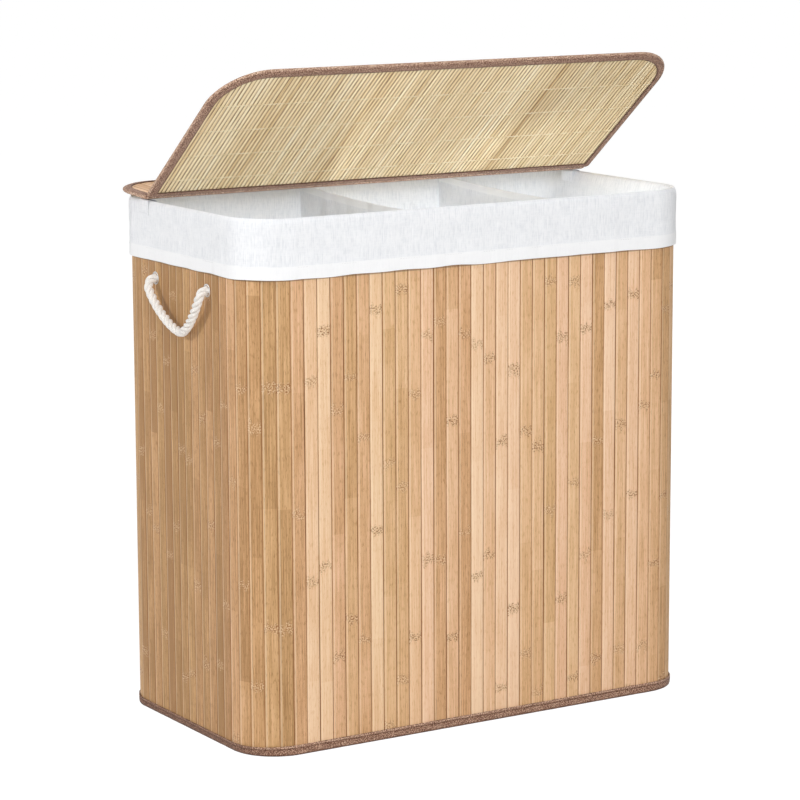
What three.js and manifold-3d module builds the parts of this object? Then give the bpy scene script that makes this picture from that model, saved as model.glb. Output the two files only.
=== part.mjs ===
// A tall folding laundry hamper: a curtain of upright slats round a rectangle
// with soft corners, a cloth liner turned over the rim, two dividers that make
// three compartments, rope handles at the ends, and a two-piece lid whose
// front flap is hinged on cloth. Millimetres, +Z up, +X to the right along the
// front, +Y to the rear. The origin is the middle of the underside.

import * as THREE from "three";
import { mergeVertices } from "three/addons/utils/BufferGeometryUtils.js";
import Module from "manifold-3d";

const wasm = await Module();
wasm.setup();

// Whole body
const BODY_WIDTH = 620;
const BODY_DEPTH = 340;
const RIM_HEIGHT = 630;
const CORNER_RADIUS = 57;
const CORNER_STEPS = 10;
const GAP = 0.3;
const CUT_OVERRUN = 5;

// Slat curtain and the cloth glued to its back
const SLAT_PITCH = 17.6;
const SLAT_THICKNESS = 2;
const GROOVE_WIDTH = 1.4;
const GROOVE_DEPTH = 0.9;
const CORNER_SLATS = 5;
const LINING_THICKNESS = 0.8;

// Bindings, a folded cloth tape on every raw edge
const BINDING_THICKNESS = 0.8;
const BASE_BINDING_HEIGHT = 13;
const BASE_BINDING_LIFT = 0.4;
const RIM_BINDING_HEIGHT = 14;

// Floor of the hamper
const BASE_COVER_THICKNESS = 0.8;
const BASE_BOARD_THICKNESS = 4;

// Wire frame that holds the curtain square
const WIRE_DIAMETER = 3.6;
const FRAME_BELOW_RIM = 34;
const WIRE_SIDES = 8;

// Liner
const LINER_THICKNESS = 1;
const LINER_SEAM_BELOW_RIM = 25;
const CUFF_THICKNESS = 1.2;
const CUFF_HEIGHT = 70;
const CUFF_STANDOFF = 1.6;
const CUFF_FLARE = 0.4;
const HEM_HEIGHT = 15;
const HEM_THICKNESS = 1;
const COMPARTMENTS = 3;
const DIVIDER_THICKNESS = 1;
const DIVIDER_BELOW_RIM = 3;
const DIVIDER_SAG = 3;
const DIVIDER_SHIFT = 29;
const DIVIDER_SKEW = 20;
const DIVIDER_STEPS = 8;

// Rope handles and their eyelets
const HANDLE_BELOW_CUFF = 21;
const HANDLE_SPACING = 128;
const HANDLE_DROP = 55;
const HANDLE_LEAN = 12;
const ROPE_DIAMETER = 11;
const ROPE_BULGE = 2.5;
const ROPE_WALL_GAP = 2.5;
const ROPE_SIDES = 10;
const ROPE_STEPS = 16;
const ROPE_CLEARANCE = 0.5;
const ROPE_NECK = 2;
const ROPE_STOP_RADIUS = 11;
const ROPE_STOP_THICKNESS = 2.6;
const EYELET_WALL = 0.8;
const EYELET_FLANGE_RADIUS = 8.8;
const EYELET_FLANGE_THICKNESS = 1;
const EYELET_SIDES = 16;

// Lid
const LID_SIDE_OVERHANG = 10;
const LID_REAR_OVERHANG = 6;
const LID_FRONT_OVERHANG = 15;
const LID_REAR_STRIP_DEPTH = 105;
const LID_OUTER_RADIUS = 64;
const LID_HINGE_RADIUS = 8;
const LID_BINDING_WIDTH = 11;
const LID_MAT_THICKNESS = 1.2;
const LID_CORE_THICKNESS = 1;
const LID_SLAT_THICKNESS = 1.6;
const LID_HINGE_GAP = 1.2;
const LID_OPEN_DEGREES = 38.5;
const HINGE_TAPE_THICKNESS = 0.5;
const HINGE_TAPE_REACH = 11;
const STRAP_THICKNESS = 0.8;
const STRAP_WIDTH = 24;
const STRAP_FROM_HINGE = 4;
const STRAP_OUTER_LEG = 25;
const STRAP_INNER_LEG = 15;

// Stack across the wall, counted outward from the outer face of the slats
const SLAT_BACK = -SLAT_THICKNESS;
const LINING_FACE = SLAT_BACK - GAP;
const LINING_BACK = LINING_FACE - LINING_THICKNESS;
const BINDING_OUT_FACE = GAP + BINDING_THICKNESS;
const BINDING_IN_FACE = LINING_BACK - GAP - BINDING_THICKNESS;
const WIRE_OFFSET = BINDING_IN_FACE - GAP - WIRE_DIAMETER / 2;
const LINER_OUT = WIRE_OFFSET - WIRE_DIAMETER / 2 - GAP;
const LINER_IN = LINER_OUT - LINER_THICKNESS;

// Stack up from the floor
const BASE_BOARD_BOTTOM = BASE_COVER_THICKNESS + GAP;
const BASE_BOARD_TOP = BASE_BOARD_BOTTOM + BASE_BOARD_THICKNESS;
const LINER_FLOOR_BOTTOM = BASE_BOARD_TOP + GAP;
const LINER_FLOOR_TOP = LINER_FLOOR_BOTTOM + LINER_THICKNESS;
const WALL_BOTTOM = BASE_BINDING_LIFT + BINDING_THICKNESS + GAP;

// Stack down and up from the rim
const RIM_BINDING_TOP = RIM_HEIGHT - CUFF_THICKNESS - GAP;
const WALL_TOP = RIM_BINDING_TOP - BINDING_THICKNESS - GAP;
const LINER_SEAM = RIM_HEIGHT - LINER_SEAM_BELOW_RIM;
const CUFF_BOTTOM = RIM_HEIGHT - CUFF_HEIGHT;
const FRAME_HEIGHT = RIM_HEIGHT - FRAME_BELOW_RIM;
const HANDLE_HEIGHT = CUFF_BOTTOM - HANDLE_BELOW_CUFF;
const STRAP_TOP = RIM_HEIGHT + GAP + STRAP_THICKNESS;
const LID_BOTTOM = STRAP_TOP + GAP;
const LID_MAT_BOTTOM = LID_BOTTOM + BINDING_THICKNESS + GAP;
const LID_CORE_BOTTOM = LID_MAT_BOTTOM + LID_MAT_THICKNESS + GAP;
const LID_SLAT_BOTTOM = LID_CORE_BOTTOM + LID_CORE_THICKNESS + GAP;
const LID_SLAT_TOP = LID_SLAT_BOTTOM + LID_SLAT_THICKNESS;
const LID_TOP = LID_SLAT_TOP + GAP + BINDING_THICKNESS;

// Places along the lid
const LID_REAR_EDGE = BODY_DEPTH / 2 + LID_REAR_OVERHANG;
const LID_FRONT_EDGE = -BODY_DEPTH / 2 - LID_FRONT_OVERHANG;
const LID_HALF_WIDTH = BODY_WIDTH / 2 + LID_SIDE_OVERHANG;
const HINGE_Y = LID_REAR_EDGE - LID_REAR_STRIP_DEPTH;
const HINGE_Z = LID_TOP + GAP + HINGE_TAPE_THICKNESS / 2;
const LID_OPEN = THREE.MathUtils.degToRad(LID_OPEN_DEGREES);

// Rope handle: the loop turns about a line through the two bends
const ROPE_RADIUS = ROPE_DIAMETER / 2;
const EYELET_BORE = ROPE_RADIUS + ROPE_CLEARANCE;
const EYELET_BARREL = EYELET_BORE + EYELET_WALL;
const EYELET_HOLE = EYELET_BARREL + GAP;
const EYELET_FRONT = GAP + EYELET_FLANGE_THICKNESS;
const EYELET_BACK = LINING_BACK - GAP - EYELET_FLANGE_THICKNESS;
const ROPE_STOP_FACE = EYELET_BACK - GAP;
const ROPE_NECK_END = EYELET_FRONT + ROPE_NECK;
const ROPE_AXIS = ROPE_NECK_END + GAP + ROPE_RADIUS;
const ROPE_LOW_OFFSET = ROPE_RADIUS + ROPE_WALL_GAP;

// Route of half a rope loop: shares of half the spacing, of the drop, and of
// the bulge away from the straight line between the bend and the lowest point.
// The lowest point leans a little towards the front.
const ROPE_ROUTE_SHARES = [
  [1, 0, 0],
  [0.98, 0.18, 0.8],
  [0.74, 0.52, 1],
  [0.32, 0.88, 0.5],
  [0, 1, 0],
];

// Materials
function clothMaterial(colour) {
  return new THREE.MeshStandardMaterial({ color: colour, roughness: 0.95, metalness: 0 });
}

function slatMaterial() {
  return new THREE.MeshStandardMaterial({ color: 0xc99a68, roughness: 0.5, metalness: 0 });
}

function matMaterial() {
  return new THREE.MeshStandardMaterial({ color: 0xd8c08c, roughness: 0.7, metalness: 0 });
}

function boardMaterial() {
  return new THREE.MeshStandardMaterial({ color: 0x9a7d5c, roughness: 0.85, metalness: 0 });
}

function metalMaterial() {
  return new THREE.MeshStandardMaterial({ color: 0xa8a8a6, roughness: 0.35, metalness: 1 });
}

const LINER_COLOUR = 0xf1f2f4;
const BINDING_COLOUR = 0x8f6a50;
const LINING_COLOUR = 0xb9a184;
const ROPE_COLOUR = 0xe8dcc6;

// Closed bodies

function signedVolume(positions, index) {
  const a = new THREE.Vector3();
  const b = new THREE.Vector3();
  const c = new THREE.Vector3();
  let sum = 0;
  for (let i = 0; i < index.length; i += 3) {
    a.fromArray(positions, 3 * index[i]);
    b.fromArray(positions, 3 * index[i + 1]);
    c.fromArray(positions, 3 * index[i + 2]);
    sum += a.dot(b.cross(c));
  }
  return sum;
}

function closedGeometry(positions, index) {
  if (signedVolume(positions, index) < 0) {
    index.reverse();
  }
  const geometry = new THREE.BufferGeometry();
  geometry.setAttribute("position", new THREE.Float32BufferAttribute(positions, 3));
  geometry.setIndex(index);
  return geometry;
}

// Rings of equal length, joined one to the next. A closed loft runs back to
// its first ring; an open one is capped by a fan at each end.
function loft(rings, closed) {
  const count = rings[0].length;
  const positions = rings.flat(2);
  const index = [];
  const spans = closed ? rings.length : rings.length - 1;
  for (let r = 0; r < spans; r += 1) {
    const low = r * count;
    const high = ((r + 1) % rings.length) * count;
    for (let i = 0; i < count; i += 1) {
      const next = (i + 1) % count;
      index.push(low + i, low + next, high + next, low + i, high + next, high + i);
    }
  }
  if (!closed) {
    const last = (rings.length - 1) * count;
    for (let i = 1; i < count - 1; i += 1) {
      index.push(0, i + 1, i, last, last + i, last + i + 1);
    }
  }
  return closedGeometry(positions, index);
}

function extrude(points, height) {
  const shape = new THREE.Shape(points.map(([x, y]) => new THREE.Vector2(x, y)));
  return new THREE.ExtrudeGeometry(shape, { depth: height, bevelEnabled: false });
}

function toSolid(geometry) {
  const plain = geometry.clone();
  plain.deleteAttribute("normal");
  plain.deleteAttribute("uv");
  const merged = mergeVertices(plain);
  return new wasm.Manifold(new wasm.Mesh({
    numProp: 3,
    vertProperties: new Float32Array(merged.attributes.position.array),
    triVerts: new Uint32Array(merged.index.array),
  }));
}

function fromSolid(solid) {
  const mesh = solid.getMesh();
  return closedGeometry(Array.from(mesh.vertProperties), Array.from(mesh.triVerts));
}

// Outlines

// Rectangle from (x0, y0) to (x1, y1), one radius for its two corners at y0
// and one for those at y1, drawn in by inset all round.
function outline(x0, x1, y0, y1, radiusAtY0, radiusAtY1, inset) {
  const corners = [
    [x1, y0, -1, 1, radiusAtY0, -0.5],
    [x1, y1, -1, -1, radiusAtY1, 0],
    [x0, y1, 1, -1, radiusAtY1, 0.5],
    [x0, y0, 1, 1, radiusAtY0, 1],
  ];
  const points = [];
  for (const [x, y, inX, inY, radius, turn] of corners) {
    const r = Math.max(radius - inset, GAP);
    const cx = x + inX * (inset + r);
    const cy = y + inY * (inset + r);
    for (let i = 0; i <= CORNER_STEPS; i += 1) {
      const angle = Math.PI * (turn + i / CORNER_STEPS / 2);
      points.push([cx + r * Math.cos(angle), cy + r * Math.sin(angle)]);
    }
  }
  return points;
}

// The body's own outline, moved outward by offset.
function bodyOutline(offset) {
  const x = BODY_WIDTH / 2;
  const y = BODY_DEPTH / 2;
  return outline(-x, x, -y, y, CORNER_RADIUS, CORNER_RADIUS, -offset);
}

function atHeight(points, z) {
  return points.map(([x, y]) => [x, y, z]);
}

// A section of [offset, height] points swept round the body.
function bodyRing(section) {
  return loft(section.map(([offset, z]) => atHeight(bodyOutline(offset), z)), true);
}

function bodyPlate(offset, bottom, top) {
  const points = bodyOutline(offset);
  return loft([atHeight(points, bottom), atHeight(points, top)], false);
}

function box(low, high) {
  return [[low[0], low[1]], [high[0], low[1]], [high[0], high[1]], [low[0], high[1]]];
}

// A strip of even thickness along a line of [offset, height] points.
function thickenLine(line, thickness) {
  const left = [];
  const right = [];
  line.forEach(([x, y], i) => {
    const before = line[Math.max(i - 1, 0)];
    const after = line[Math.min(i + 1, line.length - 1)];
    const along = new THREE.Vector2(after[0] - before[0], after[1] - before[1]).normalize();
    const half = thickness / 2;
    left.push([x - along.y * half, y + along.x * half]);
    right.push([x + along.y * half, y - along.x * half]);
  });
  return left.concat(right.reverse());
}

// Slat curtain

function slatCount(width) {
  return Math.max(Math.round(width / SLAT_PITCH), 1);
}

// Outline across a flat run of slats: flat back, a groove at every joint.
function slatRunOutline(width, thickness) {
  const count = slatCount(width);
  const half = width / 2;
  const bevel = GROOVE_WIDTH / 2;
  const points = [[-half, -thickness], [half, -thickness]];
  points.push([half, -GROOVE_DEPTH], [half - bevel, 0]);
  for (let i = count - 1; i > 0; i -= 1) {
    const joint = -half + (width * i) / count;
    points.push([joint + bevel, 0], [joint, -GROOVE_DEPTH], [joint - bevel, 0]);
  }
  points.push([-half + bevel, 0], [-half, -GROOVE_DEPTH]);
  return points;
}

// Outline of one slat of a corner, about the corner's centre. The slats share
// a right angle from angle 0, counter-clockwise.
function cornerSlatOutline(index) {
  const back = CORNER_RADIUS - SLAT_THICKNESS;
  const share = Math.PI / 2 / CORNER_SLATS;
  const from = share * index + GAP / 2 / back;
  const to = share * (index + 1) - GAP / 2 / back;
  const bevel = GROOVE_WIDTH / 2 / CORNER_RADIUS;
  const at = (radius, angle) => [radius * Math.cos(angle), radius * Math.sin(angle)];
  const points = [
    at(CORNER_RADIUS - GROOVE_DEPTH, from),
    at(CORNER_RADIUS, from + bevel),
    at(CORNER_RADIUS, to - bevel),
    at(CORNER_RADIUS - GROOVE_DEPTH, to),
  ];
  const steps = Math.ceil(CORNER_STEPS / CORNER_SLATS);
  for (let i = steps; i >= 0; i -= 1) {
    points.push(at(back, from + ((to - from) * i) / steps));
  }
  return points;
}

function slatRun(width) {
  return extrude(slatRunOutline(width - GAP, SLAT_THICKNESS), WALL_TOP - WALL_BOTTOM);
}

// Holes for the handle's eyelets, along local Y of an end wall
function drillEyeletHoles(geometry) {
  let solid = toSolid(geometry);
  for (const end of [-1, 1]) {
    const drill = new THREE.CylinderGeometry(
      EYELET_HOLE, EYELET_HOLE, SLAT_THICKNESS + CUT_OVERRUN, EYELET_SIDES);
    const along = (end * HANDLE_SPACING) / 2;
    drill.translate(along, -SLAT_THICKNESS / 2, HANDLE_HEIGHT - WALL_BOTTOM);
    solid = solid.subtract(toSolid(drill));
  }
  return fromSolid(solid);
}

const endSides = [["left", -1], ["right", 1]];
const faceSides = [["front", -1], ["rear", 1]];

function makeFaceWall(side) {
  const wall = new THREE.Mesh(slatRun(BODY_WIDTH - 2 * CORNER_RADIUS), slatMaterial());
  wall.rotation.z = side < 0 ? Math.PI : 0;
  wall.position.set(0, (side * BODY_DEPTH) / 2, WALL_BOTTOM);
  return wall;
}

function makeEndWall(side) {
  const run = drillEyeletHoles(slatRun(BODY_DEPTH - 2 * CORNER_RADIUS));
  const wall = new THREE.Mesh(run, slatMaterial());
  wall.rotation.z = (-side * Math.PI) / 2;
  wall.position.set((side * BODY_WIDTH) / 2, 0, WALL_BOTTOM);
  return wall;
}

function makeCornerSlat(sideX, sideY, index) {
  const strip = extrude(cornerSlatOutline(index), WALL_TOP - WALL_BOTTOM);
  const slat = new THREE.Mesh(strip, slatMaterial());
  const quarter = Math.PI / 2;
  const turns = sideX > 0 ? (sideY > 0 ? 0 : -1) : (sideY > 0 ? 1 : 2);
  slat.rotation.z = turns * quarter;
  slat.position.set(
    sideX * (BODY_WIDTH / 2 - CORNER_RADIUS),
    sideY * (BODY_DEPTH / 2 - CORNER_RADIUS),
    WALL_BOTTOM);
  return slat;
}

function makeLining() {
  const ring = bodyRing([
    [LINING_FACE, WALL_BOTTOM], [LINING_FACE, WALL_TOP],
    [LINING_BACK, WALL_TOP], [LINING_BACK, WALL_BOTTOM],
  ]);
  let solid = toSolid(ring);
  for (const end of [-1, 1]) {
    const drill = new THREE.CylinderGeometry(
      EYELET_HOLE, EYELET_HOLE, BODY_WIDTH + CUT_OVERRUN, EYELET_SIDES);
    drill.rotateZ(Math.PI / 2);
    drill.translate(0, (end * HANDLE_SPACING) / 2, HANDLE_HEIGHT);
    solid = solid.subtract(toSolid(drill));
  }
  return new THREE.Mesh(fromSolid(solid), clothMaterial(LINING_COLOUR));
}

// Bindings of the body

function makeBaseBinding() {
  const low = BASE_BINDING_LIFT;
  const inner = low + BINDING_THICKNESS;
  const legBack = BINDING_IN_FACE + BINDING_THICKNESS;
  return new THREE.Mesh(bodyRing([
    [BINDING_OUT_FACE, low], [BINDING_OUT_FACE, BASE_BINDING_HEIGHT],
    [GAP, BASE_BINDING_HEIGHT], [GAP, inner],
    [legBack, inner], [legBack, BASE_BINDING_HEIGHT],
    [BINDING_IN_FACE, BASE_BINDING_HEIGHT], [BINDING_IN_FACE, low],
  ]), clothMaterial(BINDING_COLOUR));
}

function makeRimBinding() {
  const top = RIM_BINDING_TOP;
  const inner = top - BINDING_THICKNESS;
  const low = top - RIM_BINDING_HEIGHT;
  const legBack = BINDING_IN_FACE + BINDING_THICKNESS;
  return new THREE.Mesh(bodyRing([
    [BINDING_OUT_FACE, top], [BINDING_OUT_FACE, low],
    [GAP, low], [GAP, inner],
    [legBack, inner], [legBack, low],
    [BINDING_IN_FACE, low], [BINDING_IN_FACE, top],
  ]), clothMaterial(BINDING_COLOUR));
}

// Floor

function makeBaseCover() {
  const plate = bodyPlate(BINDING_IN_FACE - GAP, 0, BASE_COVER_THICKNESS);
  return new THREE.Mesh(plate, clothMaterial(LINING_COLOUR));
}

function makeBaseBoard() {
  const plate = bodyPlate(BINDING_IN_FACE - GAP, BASE_BOARD_BOTTOM, BASE_BOARD_TOP);
  return new THREE.Mesh(plate, boardMaterial());
}

// Wire frame

function makeFrameRing() {
  const section = [];
  for (let i = 0; i < WIRE_SIDES; i += 1) {
    const angle = (2 * Math.PI * i) / WIRE_SIDES;
    section.push([
      WIRE_OFFSET + (WIRE_DIAMETER / 2) * Math.cos(angle),
      FRAME_HEIGHT + (WIRE_DIAMETER / 2) * Math.sin(angle),
    ]);
  }
  return new THREE.Mesh(bodyRing(section), metalMaterial());
}

function makePost(sideX, sideY) {
  const low = LINER_FLOOR_BOTTOM;
  const high = FRAME_HEIGHT - WIRE_DIAMETER / 2 - GAP;
  const radius = WIRE_DIAMETER / 2;
  const post = new THREE.Mesh(
    new THREE.CylinderGeometry(radius, radius, high - low, WIRE_SIDES), metalMaterial());
  const reach = (CORNER_RADIUS + WIRE_OFFSET) * Math.SQRT1_2;
  post.rotation.x = Math.PI / 2;
  post.position.set(
    sideX * (BODY_WIDTH / 2 - CORNER_RADIUS + reach),
    sideY * (BODY_DEPTH / 2 - CORNER_RADIUS + reach),
    (low + high) / 2);
  return post;
}

// Liner

function makeLinerBag() {
  const out = bodyOutline(LINER_OUT);
  const inside = bodyOutline(LINER_IN);
  const top = LINER_SEAM - GAP;
  return new THREE.Mesh(loft([
    atHeight(out, LINER_FLOOR_BOTTOM), atHeight(out, top),
    atHeight(inside, top), atHeight(inside, LINER_FLOOR_TOP),
  ], false), clothMaterial(LINER_COLOUR));
}

// Middle line of the cuff's cloth, from the seam inside, over the rim and
// down the outside to the hem.
function cuffLine() {
  const half = CUFF_THICKNESS / 2;
  const inLow = LINER_OUT - LINER_THICKNESS / 2;
  const inHigh = BINDING_IN_FACE - GAP - half;
  const crown = RIM_HEIGHT - half;
  const outHigh = BINDING_OUT_FACE + GAP + half;
  const outLow = CUFF_STANDOFF + HEM_THICKNESS;
  return [
    [inLow, LINER_SEAM],
    [inLow, LINER_SEAM + 2 * CUFF_THICKNESS],
    [inHigh - 2 * half, crown - 4 * CUFF_THICKNESS],
    [inHigh - half, crown - CUFF_THICKNESS],
    [inHigh + half, crown],
    [outHigh - half, crown],
    [outHigh + half, crown - half],
    [outLow - half / 2, crown - 2 * CUFF_THICKNESS],
    [outLow, crown - 6 * CUFF_THICKNESS],
    [outLow, CUFF_BOTTOM + HEM_HEIGHT],
    [outLow + CUFF_FLARE, CUFF_BOTTOM],
  ];
}

function makeCuff() {
  const section = thickenLine(cuffLine(), CUFF_THICKNESS);
  return new THREE.Mesh(bodyRing(section), clothMaterial(LINER_COLOUR));
}

function makeHem() {
  const face = CUFF_STANDOFF + HEM_THICKNESS - CUFF_THICKNESS / 2 - GAP;
  const back = face - HEM_THICKNESS;
  const low = CUFF_BOTTOM + GAP;
  const high = CUFF_BOTTOM + HEM_HEIGHT;
  return new THREE.Mesh(bodyRing([
    [face, low], [face, high], [back, high], [back, low],
  ]), clothMaterial(LINER_COLOUR));
}

// A divider stands across the bag. Both stand right of their even places, and
// further right at the rear than at the front, because the liner has slipped.
function makeDivider(side) {
  const reach = BODY_DEPTH / 2 + LINER_IN - GAP;
  const skew = Math.atan2(DIVIDER_SKEW, reach);
  const half = reach / Math.cos(skew) - (DIVIDER_THICKNESS / 2) * Math.tan(skew);
  const bottom = LINER_FLOOR_TOP + GAP;
  const top = RIM_HEIGHT - DIVIDER_BELOW_RIM;
  const points = [[-half, bottom], [half, bottom]];
  for (let i = 0; i <= DIVIDER_STEPS; i += 1) {
    const share = 1 - (2 * i) / DIVIDER_STEPS;
    points.push([half * share, top - DIVIDER_SAG * (1 - share * share)]);
  }
  const sheet = extrude(points, DIVIDER_THICKNESS);
  sheet.translate(0, 0, -DIVIDER_THICKNESS / 2);
  sheet.rotateX(Math.PI / 2);
  sheet.rotateZ(Math.PI / 2 - skew);
  const divider = new THREE.Mesh(sheet, clothMaterial(LINER_COLOUR));
  divider.position.set((side * BODY_WIDTH) / COMPARTMENTS / 2 + DIVIDER_SHIFT, 0, 0);
  return divider;
}

// Rope handles

// A round piece on an axis along X through one of the handle's holes. Its
// section is given as [radius, distance outward from the slats' face] points.
function latheAlongX(profile, sides, side, y) {
  const points = profile.map(([r, offset]) => new THREE.Vector2(r, offset));
  const ring = new THREE.LatheGeometry(points, sides);
  ring.rotateZ((-side * Math.PI) / 2);
  ring.translate((side * BODY_WIDTH) / 2, y, HANDLE_HEIGHT);
  return ring;
}

function makeEyelet(side, y) {
  const profile = [
    [EYELET_BORE, EYELET_BACK], [EYELET_FLANGE_RADIUS, EYELET_BACK],
    [EYELET_FLANGE_RADIUS, EYELET_BACK + EYELET_FLANGE_THICKNESS],
    [EYELET_BARREL, EYELET_BACK + EYELET_FLANGE_THICKNESS],
    [EYELET_BARREL, GAP], [EYELET_FLANGE_RADIUS, GAP],
    [EYELET_FLANGE_RADIUS, EYELET_FRONT - EYELET_FLANGE_THICKNESS / 2],
    [EYELET_FLANGE_RADIUS - EYELET_FLANGE_THICKNESS, EYELET_FRONT],
    [EYELET_BORE, EYELET_FRONT], [EYELET_BORE, EYELET_BACK],
  ];
  return new THREE.Mesh(latheAlongX(profile, EYELET_SIDES, side, y), metalMaterial());
}

// The end of the rope: flattened against a stop inside, straight through the
// eyelet, and cut where the loop's bend begins.
function makeRopeEnd(side, y) {
  const profile = [
    [0, ROPE_STOP_FACE - ROPE_STOP_THICKNESS],
    [ROPE_STOP_RADIUS, ROPE_STOP_FACE - ROPE_STOP_THICKNESS],
    [ROPE_STOP_RADIUS, ROPE_STOP_FACE],
    [ROPE_RADIUS, ROPE_STOP_FACE],
    [ROPE_RADIUS, ROPE_NECK_END],
    [0, ROPE_NECK_END],
  ];
  return new THREE.Mesh(latheAlongX(profile, EYELET_SIDES, side, y), clothMaterial(ROPE_COLOUR));
}

function ropeRoute(side) {
  const half = ROPE_ROUTE_SHARES.map(([across, down, bulge]) => {
    const straight = THREE.MathUtils.lerp(ROPE_AXIS, ROPE_LOW_OFFSET, down);
    return [straight + bulge * ROPE_BULGE, across, down];
  });
  const mirrored = half.slice(0, -1).reverse().map(([out, across, down]) => [out, -across, down]);
  return half.concat(mirrored).map(([out, across, down]) => new THREE.Vector3(
    side * (BODY_WIDTH / 2 + out),
    (across * HANDLE_SPACING) / 2 - (1 - Math.abs(across)) * HANDLE_LEAN,
    HANDLE_HEIGHT - down * HANDLE_DROP));
}

// A round bar along a curve, closed by half a ball at each end.
function roundEndedTube(curve, radius, steps, sides) {
  const frames = curve.computeFrenetFrames(steps, false);
  const rings = [];
  const addRing = (centre, i, shrink) => {
    const ring = [];
    for (let s = 0; s < sides; s += 1) {
      const angle = (2 * Math.PI * s) / sides;
      const point = centre.clone()
        .addScaledVector(frames.normals[i], radius * shrink * Math.cos(angle))
        .addScaledVector(frames.binormals[i], radius * shrink * Math.sin(angle));
      ring.push(point.toArray());
    }
    rings.push(ring);
  };
  const capTurns = [0.9, 0.6, 0.3].map((share) => (share * Math.PI) / 2);
  for (const turn of capTurns) {
    const centre = curve.getPointAt(0).addScaledVector(frames.tangents[0], -radius * Math.sin(turn));
    addRing(centre, 0, Math.cos(turn));
  }
  for (let i = 0; i <= steps; i += 1) {
    addRing(curve.getPointAt(i / steps), i, 1);
  }
  for (const turn of capTurns.reverse()) {
    const centre = curve.getPointAt(1).addScaledVector(frames.tangents[steps], radius * Math.sin(turn));
    addRing(centre, steps, Math.cos(turn));
  }
  return loft(rings, false);
}

function makeRopeLoop(side) {
  const curve = new THREE.CatmullRomCurve3(ropeRoute(side), false, "centripetal");
  const tube = roundEndedTube(curve, ROPE_RADIUS, ROPE_STEPS, ROPE_SIDES);
  return new THREE.Mesh(tube, clothMaterial(ROPE_COLOUR));
}

// Lid

function rearOutline(inset) {
  const front = HINGE_Y + LID_HINGE_GAP / 2;
  return outline(-LID_HALF_WIDTH, LID_HALF_WIDTH, front, LID_REAR_EDGE,
    LID_HINGE_RADIUS, LID_OUTER_RADIUS, inset);
}

function flapOutline(inset) {
  const rear = HINGE_Y - LID_HINGE_GAP / 2;
  return outline(-LID_HALF_WIDTH, LID_HALF_WIDTH, LID_FRONT_EDGE, rear,
    LID_OUTER_RADIUS, LID_HINGE_RADIUS, inset);
}

function lidPlate(outlineAt, bottom, top) {
  const points = outlineAt(BINDING_THICKNESS + GAP);
  return loft([atHeight(points, bottom), atHeight(points, top)], false);
}

// Slats that run from the rear to the front, cut to the plate's outline.
function lidSlats(outlineAt) {
  const run = extrude(slatRunOutline(2 * LID_HALF_WIDTH, LID_SLAT_THICKNESS), 2 * BODY_DEPTH);
  run.rotateX(Math.PI / 2);
  run.translate(0, BODY_DEPTH, LID_SLAT_TOP);
  const blank = lidPlate(outlineAt, LID_SLAT_BOTTOM - CUT_OVERRUN, LID_SLAT_TOP + CUT_OVERRUN);
  return fromSolid(toSolid(run).intersect(toSolid(blank)));
}

function lidBinding(outlineAt) {
  const wall = BINDING_THICKNESS;
  const section = [
    [0, LID_BOTTOM], [0, LID_TOP], [LID_BINDING_WIDTH, LID_TOP],
    [LID_BINDING_WIDTH, LID_TOP - wall], [wall, LID_TOP - wall],
    [wall, LID_BOTTOM + wall], [LID_BINDING_WIDTH, LID_BOTTOM + wall],
    [LID_BINDING_WIDTH, LID_BOTTOM],
  ];
  return loft(section.map(([inset, z]) => atHeight(outlineAt(inset), z)), true);
}

// The four layers of a lid part, flat, as when the lid is shut.
function lidLayers(outlineAt) {
  return [
    ["slats", lidSlats(outlineAt), slatMaterial()],
    ["core", lidPlate(outlineAt, LID_CORE_BOTTOM, LID_CORE_BOTTOM + LID_CORE_THICKNESS), boardMaterial()],
    ["mat", lidPlate(outlineAt, LID_MAT_BOTTOM, LID_MAT_BOTTOM + LID_MAT_THICKNESS), matMaterial()],
    ["binding", lidBinding(outlineAt), clothMaterial(BINDING_COLOUR)],
  ];
}

// The flap hangs in a group that turns about the hinge line.
function makeFlapPivot() {
  const pivot = new THREE.Group();
  pivot.position.set(0, HINGE_Y, HINGE_Z);
  pivot.rotation.x = -LID_OPEN;
  return pivot;
}

// Cloth tape over the joint, bent where the flap stands open.
function makeHingeTape() {
  const half = HINGE_TAPE_THICKNESS / 2;
  const bend = LID_OPEN / 2;
  const corner = (offset) => [
    (offset / Math.cos(bend)) * Math.sin(bend),
    (offset / Math.cos(bend)) * Math.cos(bend),
  ];
  const onFlap = (offset) => [
    -HINGE_TAPE_REACH * Math.cos(LID_OPEN) + offset * Math.sin(LID_OPEN),
    HINGE_TAPE_REACH * Math.sin(LID_OPEN) + offset * Math.cos(LID_OPEN),
  ];
  const section = [
    [HINGE_TAPE_REACH, -half], [HINGE_TAPE_REACH, half],
    corner(half), onFlap(half), onFlap(-half), corner(-half),
  ];
  const width = 2 * (LID_HALF_WIDTH - LID_HINGE_RADIUS);
  const strip = extrude(section, width);
  strip.rotateX(Math.PI / 2);
  strip.rotateZ(Math.PI / 2);
  const tape = new THREE.Mesh(strip, clothMaterial(BINDING_COLOUR));
  tape.position.set(-width / 2, HINGE_Y, HINGE_Z);
  return tape;
}

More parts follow.
